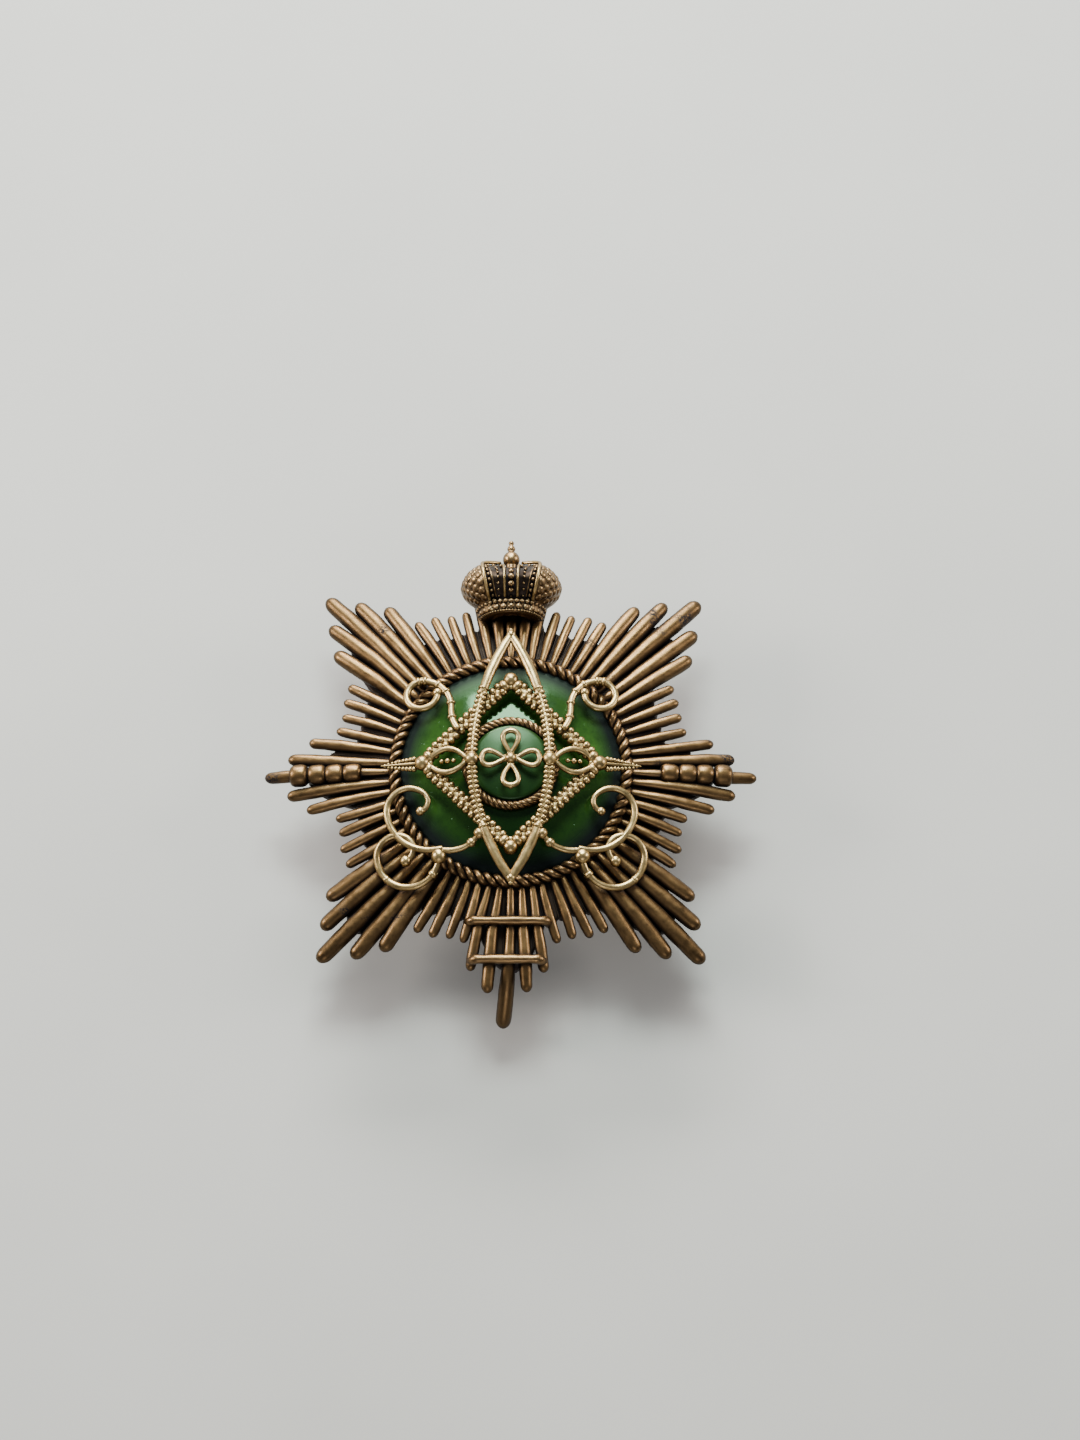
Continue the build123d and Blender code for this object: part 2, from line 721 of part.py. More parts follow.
# ---- Fastening ----


def make_post():
    """The threaded post, soldered through the hub; its thread's crests are this cylinder."""
    with BuildPart() as post:
        with Locations((0, 0, POST_END)):
            Cylinder(POST_RADIUS, HUB_Z - POST_END, align=(Align.CENTER, Align.CENTER, Align.MIN))
        chamfer(post.edges().group_by(Axis.Z)[0], POST_CHAMFER)
    return post


def make_spikes():
    """Two pointed pins that keep the badge from turning; they also guide the clamp plate."""
    with BuildPart() as spikes:
        with Locations((SPIKE_X, 0, SPIKE_POINT), (-SPIKE_X, 0, SPIKE_POINT)):
            Cylinder(SPIKE_RADIUS, HUB_Z - SPIKE_POINT, align=(Align.CENTER, Align.CENTER, Align.MIN))
        chamfer(spikes.edges().group_by(Axis.Z)[0], SPIKE_TAPER, SPIKE_TIP)
    return spikes


def make_clamp_plate():
    """The disc that presses the cloth against the star's back."""
    with BuildPart() as plate:
        with Locations((0, 0, PLATE_Z)):
            Cylinder(PLATE_RADIUS, PLATE_THICKNESS, align=(Align.CENTER, Align.CENTER, Align.MIN))
        fillet(plate.edges().filter_by(GeomType.CIRCLE), PLATE_ROUNDING)
        with Locations((0, 0, PLATE_Z)):
            Cylinder(POST_RADIUS + POST_CLEARANCE, 4 * PLATE_THICKNESS, mode=Mode.SUBTRACT)
        with Locations((SPIKE_X, 0, PLATE_Z), (-SPIKE_X, 0, PLATE_Z)):
            Cylinder(SPIKE_RADIUS + SPIKE_CLEARANCE, 4 * PLATE_THICKNESS, mode=Mode.SUBTRACT)
    return plate


def make_clamp_nut():
    """The knurled round nut."""
    with BuildPart() as nut:
        Cylinder(NUT_RADIUS, NUT_HEIGHT, align=(Align.CENTER, Align.CENTER, Align.MIN))
        chamfer(nut.edges().filter_by(GeomType.CIRCLE), NUT_CHAMFER)
        with PolarLocations(NUT_RADIUS + GRIP_SETBACK, NUT_GRIPS):
            Cylinder(GRIP_RADIUS, 4 * NUT_HEIGHT, mode=Mode.SUBTRACT)
        Cylinder(POST_RADIUS + POST_CLEARANCE, 4 * NUT_HEIGHT, mode=Mode.SUBTRACT)
    return nut


def make_pieces():
    """Every piece by its node name."""
    corners = {
        "east": (DIAMOND, 0, DIAMOND_Z),
        "north": (0, DIAMOND, DIAMOND_Z),
        "west": (-DIAMOND, 0, DIAMOND_Z),
        "south": (0, -DIAMOND, DIAMOND_Z),
    }
    pieces = {
        "star_base": make_star_base(),
        "rope_ring": ring(ROPE_RING_RADIUS, ROPE_SECTION, HUB_Z + ROPE_SECTION),
        "enamel_dish": make_enamel_dish(),
        "enamel_dome": make_enamel_dome(),
        "boss_cup": make_boss_cup(),
        "boss_enamel": make_boss_enamel(),
        "boss_rope_ring": ring(INNER_ROPE_RADIUS, INNER_ROPE_SECTION, BOSS_FLOOR + INNER_ROPE_SECTION),
        "upper_arch": make_arch(NORTH_APEX),
        "lower_arch": make_arch(SOUTH_APEX),
        "corner_balls": make_corner_balls(),
        "quatrefoil": make_quatrefoil(),
        "ornament_pins": make_ornament_pins(),
        "upper_crossbar": make_crossbar(*UPPER_CROSSBAR),
        "lower_crossbar": make_crossbar(*LOWER_CROSSBAR),
        "crown_shell": make_crown_shell(),
        "crown_bands": make_crown_bands(),
        "crown_rim": make_crown_rim(),
        "crown_pearls": make_crown_pearls(),
        "crown_orb": make_crown_orb(),
        "crown_seat": make_crown_seat(),
        "threaded_post": make_post(),
        "locating_spikes": make_spikes(),
        "clamp_plate": make_clamp_plate(),
        "clamp_nut": make_clamp_nut(),
    }
    for first, second in (("east", "north"), ("north", "west"), ("west", "south"), ("south", "east")):
        pieces[f"diamond_bar_{first}_{second}"] = make_diamond_bar(corners[first], corners[second])
    sided = {
        "waist_ball": make_waist_ball,
        "spindle": make_spindle,
        "tendrils": make_tendrils,
        "swag": make_swag,
        "upper_scroll": make_upper_scroll,
        "lower_scroll": make_lower_scroll,
        "foot_scroll": make_foot_scroll,
        "bead_row": make_bead_row,
    }
    for name, make in sided.items():
        pieces[f"west_{name}"] = make(-1)
        pieces[f"east_{name}"] = make(1)
    return pieces


os.makedirs("parts", exist_ok=True)
for name, piece in make_pieces().items():
    piece.part.label = name
    export_step(piece.part, f"parts/{name}.step")
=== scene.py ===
import math
import random

import bmesh
import bpy
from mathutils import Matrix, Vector, noise


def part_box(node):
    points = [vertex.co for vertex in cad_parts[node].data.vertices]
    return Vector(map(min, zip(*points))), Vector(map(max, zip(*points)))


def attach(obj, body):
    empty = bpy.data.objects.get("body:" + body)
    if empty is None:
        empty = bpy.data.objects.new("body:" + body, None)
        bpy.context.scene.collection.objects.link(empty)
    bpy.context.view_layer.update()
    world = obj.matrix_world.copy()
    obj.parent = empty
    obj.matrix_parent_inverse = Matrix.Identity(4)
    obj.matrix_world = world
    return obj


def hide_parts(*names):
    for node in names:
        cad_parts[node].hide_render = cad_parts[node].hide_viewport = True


# The looks of a rayed star badge, around its CAD frame. Blender works in metres; the shapes below
# are worked out in millimetres, in the CAD frame: X east, Y to the crown, Z out of the face.

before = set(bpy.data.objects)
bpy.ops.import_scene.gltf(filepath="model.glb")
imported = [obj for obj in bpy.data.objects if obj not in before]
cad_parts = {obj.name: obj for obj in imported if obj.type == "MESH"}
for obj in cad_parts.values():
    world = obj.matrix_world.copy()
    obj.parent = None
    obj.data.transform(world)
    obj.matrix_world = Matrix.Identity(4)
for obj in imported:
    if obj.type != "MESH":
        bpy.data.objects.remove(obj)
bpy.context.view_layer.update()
MM = 0.001
EAST = Vector((1, 0, 0))
NORTH = Vector((0, 1, 0))
UP = Vector((0, 0, 1))
random.seed(7)


def bottom_of(node):
    """A CAD node's lowest height, in millimetres."""
    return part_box(node)[0].z / MM


def top_of(node):
    """A CAD node's greatest height, in millimetres."""
    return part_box(node)[1].z / MM


# ---- Sizes in millimetres, as the CAD frame has them ----
HUB_Z = bottom_of("enamel_dish")
BACK_Z = HUB_Z - 1.1
RAYS = 72
RAY_PITCH = 360 / RAYS
HOOKED_RAY = RAYS * 3 // 4
RAY_START = 11.7
# Rays in groups of nine: reach and half-thickness, from a group's middle ray outwards.
GROUP = 9
CARDINAL_REACH = [25.0, 22.8, 20.9, 18.4, 18.4]
DIAGONAL_REACH = [27.3, 24.8, 22.5, 19.2, 18.9]
NORTH_REACH = 20.6
CARDINAL_SECTION = [0.66, 0.68, 0.60, 0.53, 0.52]
DIAGONAL_SECTION = [0.90, 0.84, 0.82, 0.57, 0.53]
# How far a ray's tip goes past its last full ring, in radii.
NOSE = 1.3
# Rays that stand a little off their even places, in degrees.
LEANING_RAYS = {27: -1.2, 28: -1.6, 29: -1.8, 52: -1.5, 53: -1.1, 55: -1.0, 56: -0.9}
HUB_RADIUS = 12.4
BACK_FLAT_RADIUS = 11.9
DROOP = math.radians(9)
RAY_Z = HUB_Z + 0.15
DISH_TOP = HUB_Z + 0.3
DOME_RADIUS = 11.05
DOME_SAG = 1.9
BOSS_RADIUS = 4.0
BOSS_SAG = 0.45
BOSS_RIM_Z = top_of("boss_enamel") - BOSS_SAG
# The dome that the scrolls follow: its height and its radius.
ORNAMENT_TOP = 11.75
ORNAMENT_DOME = 46.0
DIAMOND = 8.9
DIAMOND_Z = 11.1
OVAL_Z = 12.45
OVAL_HALF_WIDTH = 3.9
OVAL_TILT = math.radians(5.5)
# The pointed oval's reach: north (1) and south (-1).
APEX = {1: 13.8, -1: 12.2}
# Where the scrolls' planes touch the dome.
UPPER_RING = (9.0, 7.65)
LOWER_HOOK = (10.1, -4.8)
FOOT_RING = (10.3, -9.3)
CROWN_Z = 7.95
# The crown's outline from its foot to its top: (radius, y).
CROWN_PROFILE = [
    (3.3, 16.7), (3.45, 17.8), (4.4, 18.7), (4.95, 19.9), (4.45, 21.1), (3.2, 21.95), (1.3, 22.35),
]
# How far the crown's sunk strip, painted dark as shade, lies under its middle arch.
STRIP_DEPTH = 0.32


# ---- Building meshes ----

# Where a wire's rounded ends have rings, in shares of a quarter turn.
START_ROUNDING = (0.15, 0.4, 0.7)
END_ROUNDING = (0.85, 0.7, 0.5, 0.3, 0.12)
# The radius that a turned shape closes to.
THINNEST = 0.002


class Shape:
    """Points in millimetres and the faces between them."""

    def __init__(self):
        self.points = []
        self.faces = []

    def loft(self, rings, closed=False):
        """Skins a row of rings, and closes both ends unless the row runs back into itself."""
        first = len(self.points)
        count = len(rings[0])
        for ring in rings:
            self.points.extend(ring)
        spans = len(rings) if closed else len(rings) - 1
        for i in range(spans):
            a = first + i * count
            b = first + ((i + 1) % len(rings)) * count
            for j in range(count):
                k = (j + 1) % count
                self.faces.append((a + j, a + k, b + k, b + j))
        if not closed:
            last = first + (len(rings) - 1) * count
            self.faces.append(tuple(first + j for j in reversed(range(count))))
            self.faces.append(tuple(last + j for j in range(count)))

    def piece(self, name, look, slot, rough=0.0, grain=1.0, nodes=None, body="badge"):
        """Makes the object on its body, in place of its CAD nodes: by default the one of its own name.

        Its surface is moved by up to rough millimetres, in waves about grain millimetres long.
        """
        mesh = bpy.data.meshes.new(name)
        mesh.from_pydata([Vector(p) * MM for p in self.points], [], self.faces)
        work = bmesh.new()
        work.from_mesh(mesh)
        bmesh.ops.recalc_face_normals(work, faces=work.faces)
        work.to_mesh(mesh)
        work.free()
        mesh.polygons.foreach_set("use_smooth", [True] * len(mesh.polygons))
        mesh.materials.append(look)
        if rough:
            waves = [noise.noise(vertex.co / (grain * MM)) for vertex in mesh.vertices]
            normals = [vertex.normal.copy() for vertex in mesh.vertices]
            for vertex, normal, wave in zip(mesh.vertices, normals, waves):
                vertex.co += normal * (wave * rough * MM)
        obj = bpy.data.objects.new(name, mesh)
        bpy.context.scene.collection.objects.link(obj)
        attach(obj, body)
        replaced = (name,) if nodes is None else nodes
        if replaced:
            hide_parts(*replaced)
        return obj


def shares(count):
    """The shares from 0 to 1 in count even steps."""
    return [i / count for i in range(count + 1)]


def circle(centre, side, up, wide, tall, sides):
    """A ring of points round centre, wide along side and tall along up."""
    ring = []
    for j in range(sides):
        a = 2 * math.pi * j / sides
        ring.append(centre + side * (wide * math.cos(a)) + up * (tall * math.sin(a)))
    return ring


def quarter_round(steps, reach, radius):
    """A rounded end's rings, at shares of a quarter turn: (distance past the end, radius)."""
    turns = [step * math.pi / 2 for step in steps]
    return [(reach * math.cos(turn), radius * math.sin(turn)) for turn in turns]


def tube(shape, path, radius, sides, tall=1.0, up=UP, nose=1.0):
    """A wire along a path, with rounded ends: radius is a number or a function of the way's share."""
    path = [Vector(p) for p in path]
    lengths = [0.0]
    for a, b in zip(path, path[1:]):
        lengths.append(lengths[-1] + (b - a).length)
    size = radius if callable(radius) else lambda share: radius
    rings = []
    for i, point in enumerate(path):
        ahead = (path[min(i + 1, len(path) - 1)] - path[max(i - 1, 0)]).normalized()
        side = ahead.cross(up).normalized()
        over = side.cross(ahead)
        r = size(lengths[i] / lengths[-1])
        bends = [(0.0, r)]
        if i == 0:
            bends = quarter_round(START_ROUNDING, -r, r) + bends
        if i == len(path) - 1:
            bends += quarter_round(END_ROUNDING, r * nose, r)
        for along, thin in bends:
            rings.append(circle(point + ahead * along, side, over, thin, thin * tall, sides))
    shape.loft(rings)


def lathe(shape, origin, axis, profile, sides):
    """A turned shape: profile is (distance along the axis, radius)."""
    origin = Vector(origin)
    axis = Vector(axis).normalized()
    helper = EAST if abs(axis.x) < 0.9 else NORTH
    side = axis.cross(helper).normalized()
    over = axis.cross(side)
    rings = []
    for along, radius in profile:
        r = max(radius, THINNEST)
        rings.append(circle(origin + axis * along, side, over, r, r, sides))
    shape.loft(rings)


def ball(shape, centre, radius, squash=1.0, axis=UP, sides=20):
    """A ball, or with squash a bead that is flatter or longer along its axis."""
    rows = max(8, sides // 2)
    profile = []
    for share in shares(rows):
        turn = math.pi * share
        profile.append((-math.cos(turn) * radius * squash, math.sin(turn) * radius))
    lathe(shape, centre, axis, profile, sides)


def cap_z(rim_z, radius, sag, at):
    """Height of a spherical cap with its rim at rim_z, at a distance from its axis."""
    big = (radius * radius + sag * sag) / (2 * sag)
    return rim_z + sag - big + math.sqrt(big * big - at * at)


def polar(radius, angle, z):
    """A point from its distance, its angle in degrees and its height."""
    turn = math.radians(angle)
    return Vector((radius * math.cos(turn), radius * math.sin(turn), z))


# ---- Materials ----

# The dark of the brass's hollows and specks: patina, and painted shade in the hollows.
BLACK_PATINA_AND_SHADE = (0.010, 0.007, 0.010)
PATINA_ROUGHNESS = (0.62, 0.62, 0.62)
DEEP_GREEN = (0.004, 0.020, 0.003)
LIT_GREEN = (0.046, 0.128, 0.021)
STREAK_GREEN = (0.004, 0.020, 0.006)
PIT_GREEN = (0.002, 0.008, 0.003)
RIM_BLACK = (0.008, 0.010, 0.012)
GREEN_GLEAM = (0.55, 1.0, 0.60)


def material(name):
    """A new node material and its shader."""
    made = bpy.data.materials.new(name)
    made.use_nodes = True
    return made, made.node_tree, made.node_tree.nodes["Principled BSDF"]


def feed(tree, socket, value):
    """Links a socket to another node's output, or sets it to a number or a colour."""
    if isinstance(value, (int, float)):
        socket.default_value = value
    elif isinstance(value, tuple):
        socket.default_value = (*value, 1)
    else:
        tree.links.new(value, socket)


def add_node(tree, kind, **values):
    """A node with its inputs set by name."""
    node = tree.nodes.new(kind)
    for key, value in values.items():
        node.inputs[key.replace("_", " ")].default_value = value
    return node


def millimetres(tree):
    """The object's coordinates in millimetres."""
    place = tree.nodes.new("ShaderNodeTexCoord")
    scale = tree.nodes.new("ShaderNodeMapping")
    scale.inputs["Scale"].default_value = (1 / MM, 1 / MM, 1 / MM)
    tree.links.new(place.outputs["Object"], scale.inputs["Vector"])
    return scale.outputs["Vector"]


def axes_of(tree, source):
    """The X, Y and Z of a vector."""
    node = tree.nodes.new("ShaderNodeSeparateXYZ")
    tree.links.new(source, node.inputs[0])
    return node.outputs


def noise_of(tree, where, size, detail=4.0):
    """Noise with features about size millimetres across."""
    node = add_node(tree, "ShaderNodeTexNoise", Scale=1 / size, Detail=detail, Roughness=0.55)
    tree.links.new(where, node.inputs["Vector"])
    return node.outputs["Fac"]


def spread(tree, source, low_in, high_in, low_out=0.0, high_out=1.0):
    """The source's values moved from one span to another, and kept inside it."""
    node = add_node(
        tree, "ShaderNodeMapRange", From_Min=low_in, From_Max=high_in, To_Min=low_out, To_Max=high_out
    )
    tree.links.new(source, node.inputs["Value"])
    return node.outputs["Result"]


def blend_colours(tree, share, first, second):
    """One colour into another by a share."""
    node = tree.nodes.new("ShaderNodeMix")
    node.data_type = "RGBA"
    for place, value in ((0, share), (6, first), (7, second)):
        feed(tree, node.inputs[place], value)
    return node.outputs[2]


def join(tree, kind, first, second):
    """Two numbers put together by a Math node, kept between 0 and 1."""
    node = tree.nodes.new("ShaderNodeMath")
    node.operation = kind
    node.use_clamp = True
    feed(tree, node.inputs[0], first)
    feed(tree, node.inputs[1], second)
    return node.outputs[0]


def bump(tree, height, strength, depth, before=None):
    """A bump of depth millimetres from a height."""
    node = tree.nodes.new("ShaderNodeBump")
    node.inputs["Strength"].default_value = strength
    node.inputs["Distance"].default_value = depth * MM
    tree.links.new(height, node.inputs["Height"])
    if before is not None:
        tree.links.new(before, node.inputs["Normal"])
    return node.outputs["Normal"]


def antique_brass(
    name, bright, body, dark=BLACK_PATINA_AND_SHADE, *, shine, reach, cover, rough_cast=0.0, tips=1.0, shade=0.5
):
    """Cast brass with painted highlights on its upward faces and painted shade on its flanks, with a dark
    patina and painted shade in the hollows.

    shine is the lowest roughness, reach the hollows' width in millimetres, cover how open a clean place
    is, rough_cast the noise level past which the skin is pitted (0 for none), tips the share of their
    brightness that the rays' tips keep under painted shade, and shade the painted-shade flanks' share of
    the body colour.
    """
    made, tree, shader = material(name)
    where = millimetres(tree)
    # Ambient occlusion darkens the hollows: the brass's patina there, and painted shade.
    hollow = add_node(tree, "ShaderNodeAmbientOcclusion", Distance=reach * MM)
    hollow.samples = 8
    open_share = spread(tree, hollow.outputs["AO"], cover - 0.3, cover + 0.3)
    patches = noise_of(tree, where, 2.6, detail=6)
    specks = noise_of(tree, where, 0.22, detail=3)
    upwards = axes_of(tree, tree.nodes.new("ShaderNodeNewGeometry").outputs["Normal"])["Z"]
    # Painted highlight: faces that turn upwards take the bright colour in patches, as if lit from above.
    lit_tops = join(tree, "MULTIPLY", spread(tree, upwards, 0.6, 1.0), open_share)
    lit_tops = join(tree, "MULTIPLY", lit_tops, spread(tree, patches, 0.3, 0.65, 0.35, 1.0))
    # Painted shade: faces that turn sideways darken towards the shaded flank colour.
    shaded_flank = tuple(channel * shade for channel in body)
    metal = blend_colours(tree, spread(tree, upwards, 0.1, 1.0 - 0.5 * shade), shaded_flank, body)
    metal = blend_colours(tree, lit_tops, metal, bright)
    metal = blend_colours(tree, spread(tree, specks, 0.55, 0.75, 0.0, 0.35), metal, dark)
    # Painted shade: the colour darkens towards the rays' tips, as the light falls off.
    if tips < 1.0:
        tip_shade = spread(tree, distance_out(tree, where), 15.0, 26.0, 0.0, 1.0 - tips)
        metal = blend_colours(tree, tip_shade, metal, shaded_flank)
    # The bare share: open places stay bare metal, and the hollows take the dark colour as patina and
    # painted shade.
    bare_and_unshaded = join(tree, "MULTIPLY", open_share, spread(tree, specks, 0.25, 0.5, 0.75, 1.0))
    if rough_cast:
        place = spread(tree, noise_of(tree, where, 4.5, detail=2), rough_cast, rough_cast + 0.05)
        pitted = spread(tree, noise_of(tree, where, 0.2, detail=6), 0.38, 0.55)
        smooth = join(tree, "SUBTRACT", 1.0, join(tree, "MULTIPLY", place, pitted))
        bare_and_unshaded = join(tree, "MULTIPLY", bare_and_unshaded, smooth)
    feed(tree, shader.inputs["Base Color"], blend_colours(tree, bare_and_unshaded, dark, metal))
    feed(tree, shader.inputs["Metallic"], spread(tree, bare_and_unshaded, 0.0, 1.0, 0.55, 1.0))
    dull = spread(tree, noise_of(tree, where, 0.7, detail=5), 0.3, 0.75, shine, shine + 0.2)
    feed(tree, shader.inputs["Roughness"], blend_colours(tree, bare_and_unshaded, PATINA_ROUGHNESS, dull))
    coarse = bump(tree, noise_of(tree, where, 0.9, detail=4), 0.35, 0.05)
    fine = bump(tree, noise_of(tree, where, 0.12, detail=3), 0.3, 0.02, coarse)
    feed(tree, shader.inputs["Normal"], fine)
    return made


def distance_out(tree, where):
    """The distance from the badge's axis."""
    axes = axes_of(tree, where)
    flat = tree.nodes.new("ShaderNodeCombineXYZ")
    for axis in "XY":
        tree.links.new(axes[axis], flat.inputs[axis])
    out = tree.nodes.new("ShaderNodeVectorMath")
    out.operation = "LENGTH"
    tree.links.new(flat.outputs[0], out.inputs[0])
    return out.outputs["Value"]


def green_enamel(name, shine):
    """Deep green glass, with painted light at its sides, an almost black rim, streaks, pits and waves."""
    made, tree, shader = material(name)
    where = millimetres(tree)
    axes = axes_of(tree, where)
    sides = tree.nodes.new("ShaderNodeMath")
    sides.operation = "ABSOLUTE"
    tree.links.new(axes["X"], sides.inputs[0])
    # Painted light: the glass is lighter towards its sides and towards the north.
    light = spread(tree, sides.outputs[0], 2.0, 8.0, 0.25, 1.0)
    light = join(tree, "MULTIPLY", light, spread(tree, axes["Y"], -9.0, 1.0, 0.25, 1.0))
    clouds = noise_of(tree, where, 4.0, detail=3)
    light = join(tree, "MULTIPLY", light, spread(tree, clouds, 0.3, 0.7, 0.55, 1.0))
    glass = blend_colours(tree, light, DEEP_GREEN, LIT_GREEN)
    streak = noise_of(tree, where, 0.5, detail=4)
    glass = blend_colours(tree, spread(tree, streak, 0.45, 0.75, 0.0, 0.4), glass, STREAK_GREEN)
    rim = spread(tree, distance_out(tree, where), 8.8, 10.5)
    glass = blend_colours(tree, rim, glass, RIM_BLACK)
    pits = add_node(tree, "ShaderNodeTexVoronoi", Scale=1.5)
    tree.links.new(where, pits.inputs["Vector"])
    pit = spread(tree, pits.outputs["Distance"], 0.05, 0.11, 1.0, 0.0)
    pit = join(tree, "MULTIPLY", pit, spread(tree, noise_of(tree, where, 3.0), 0.48, 0.56))
    feed(tree, shader.inputs["Base Color"], blend_colours(tree, pit, glass, PIT_GREEN))
    feed(tree, shader.inputs["Roughness"], spread(tree, rim, 0.0, 1.0, shine, 0.42))
    feed(tree, shader.inputs["Specular IOR Level"], spread(tree, rim, 0.0, 1.0, 0.5, 0.12))
    shader.inputs["IOR"].default_value = 1.52
    feed(tree, shader.inputs["Specular Tint"], GREEN_GLEAM)
    wave = bump(tree, noise_of(tree, where, 2.4, detail=2), 0.3, 0.06)
    feed(tree, shader.inputs["Normal"], bump(tree, pit, 0.5, -0.05, wave))
    return made


def paint_cad(node, made):
    """Gives a CAD node that stays in view its material."""
    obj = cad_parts[node]
    obj.data.materials.clear()
    obj.data.materials.append(made)


# The star's brass, with painted shade on the rays' flanks and towards their tips.
STAR_METAL = antique_brass(
    "star_brass", (0.42, 0.255, 0.11), (0.19, 0.115, 0.055),
    shine=0.30, reach=0.9, cover=0.60, rough_cast=0.64, tips=0.4, shade=0.26,
)
# A darker copy of the star's brass, as painted shade on the web, the valley ridges and the crown's seat.
SHADED_VALLEY_METAL = antique_brass(
    "shaded_valley_brass", (0.14, 0.09, 0.05), (0.08, 0.052, 0.034), shine=0.42, reach=1.2, cover=0.6
)
ROPE_METAL = antique_brass(
    "rope_brass", (0.40, 0.25, 0.12), (0.19, 0.115, 0.054), shine=0.28, reach=0.45, cover=0.64
)
WIRE_METAL = antique_brass(
    "ornament_brass", (0.74, 0.56, 0.27), (0.46, 0.31, 0.13), (0.035, 0.022, 0.010),
    shine=0.26, reach=0.4, cover=0.52,
)
CROWN_METAL = antique_brass(
    "crown_brass", (0.56, 0.38, 0.19), (0.25, 0.155, 0.075), shine=0.24, reach=0.5, cover=0.64
)
# Near-black brass for the crown's sunk strip: painted shade.
SHADED_RECESS_METAL = antique_brass(
    "crown_recess_shade", (0.06, 0.042, 0.03), (0.035, 0.025, 0.02), shine=0.4, reach=0.5, cover=0.6
)
FASTENER_METAL = antique_brass(
    "fastener_brass", (0.62, 0.45, 0.22), (0.44, 0.31, 0.15), (0.10, 0.07, 0.04),
    shine=0.28, reach=0.4, cover=0.4,
)
ENAMEL = green_enamel("green_enamel", 0.10)
BOSS_ENAMEL = green_enamel("boss_green_enamel", 0.34)


# ---- Star ----


def place_in_group(k):
    """Ray k's group, one of eight, and how many rays it is from the group's middle ray."""
    group = round(k / GROUP)
    return group % 8, abs(k - GROUP * group)


def reach_of(k):
    """How far ray k goes from the centre; ray 0 points east and rays count anticlockwise."""
    group, offset = place_in_group(k)
    reach = DIAGONAL_REACH[offset] if group % 2 else CARDINAL_REACH[offset]
    return min(reach, NORTH_REACH) if group == 2 else reach


def slope_z(z, radius, start):
    """Height of a surface that falls away from the hub past start."""
    return z - max(0.0, radius - start) * math.tan(DROOP)


def ray_section(k):
    """The widest half-thickness of ray k."""
    group, offset = place_in_group(k)
    return DIAGONAL_SECTION[offset] if group % 2 else CARDINAL_SECTION[offset]


def make_rays():
    """The straight rays, each a rounded bar that swells from the hub and tapers to a blunt tip."""
    shape = Shape()
    steps = 28
    root = 0.29
    swollen_at, taper_from, taper = 0.85, 0.7, 0.08
    bow = 0.16
    for k in range(RAYS):
        if k == HOOKED_RAY:
            continue
        section = ray_section(k) * random.uniform(0.97, 1.03)
        end = reach_of(k) + random.uniform(-0.12, 0.05) - NOSE * section * 0.85
        angle = k * RAY_PITCH + random.uniform(-0.2, 0.2)
        wander = random.uniform(-0.12, 0.12)
        path = []
        sizes = []
        for share in shares(steps):
            radius = RAY_START + (end - RAY_START) * share
            swing = math.sin(math.pi * share)
            bend = math.degrees(wander * swing / radius)
            lean = LEANING_RAYS.get(k, 0.0) * min(1.0, 2 * share)
            z = slope_z(RAY_Z, radius, HUB_RADIUS) + bow * swing
            path.append(polar(radius, angle + bend + lean, z))
            growth = math.sin(min(1.0, share / swollen_at) * math.pi / 2)
            fall = max(0.0, (share - taper_from) / (1 - taper_from))
            sizes.append((root + (section - root) * growth) * (1 - taper * fall**2))
        tube(shape, path, lambda share: sizes[round(share * steps)], tall=0.95, sides=20, nose=NOSE)
    shape.piece("star_rays", STAR_METAL, "star_metal", 0.05, 1.4, nodes=())


def make_hooked_ray():
    """The long south ray, which leans west and bends down past the lower crossbar."""
    shape = Shape()
    end, lean_start, bend_start = 24.5, 14.5, 19.6
    lean_west, drop = 0.72, 2.9
    path = []
    for share in shares(44):
        y = RAY_START + (end - RAY_START) * share
        lean = max(0.0, (y - lean_start) / (end - lean_start))
        bend = max(0.0, (y - bend_start) / (end - bend_start))
        z = slope_z(RAY_Z, y, HUB_RADIUS) - drop * bend**1.6
        path.append(Vector((-lean_west * lean**2, -y, z)))
    tube(shape, path, lambda share: 0.40 + 0.40 * min(1.0, share * 1.25) ** 1.5, sides=24, nose=NOSE)
    shape.piece("hooked_ray", STAR_METAL, "star_metal", 0.05, 1.4, nodes=())


def make_valley_ridges():
    """The thin ridges that show in the valleys between the rays."""
    shape = Shape()
    start = 12.9
    short_of_tips = 2.6
    for k in range(RAYS):
        reach = min(reach_of(k), reach_of((k + 1) % RAYS)) - short_of_tips
        angle = (k + 0.5) * RAY_PITCH + random.uniform(-0.3, 0.3)
        path = []
        for share in shares(8):
            radius = start + (reach - start) * share
            path.append(polar(radius, angle, slope_z(HUB_Z - 0.02, radius, HUB_RADIUS)))
        tube(shape, path, lambda share: 0.06 + 0.08 * share, sides=8)
    shape.piece("valley_ridges", SHADED_VALLEY_METAL, "star_metal", nodes=())


def web_reach(share):
    """The web's edge, by the share of a full turn: notched between the rays."""
    short_of_tips, notch = 2.2, 0.3
    place = share * RAYS - 0.5
    k = math.floor(place)
    u = place - k
    first, second = (min(reach_of(n % RAYS), reach_of((n + 1) % RAYS)) for n in (k, k + 1))
    return first + (second - first) * u - short_of_tips - notch * abs(2 * u - 1) ** 3


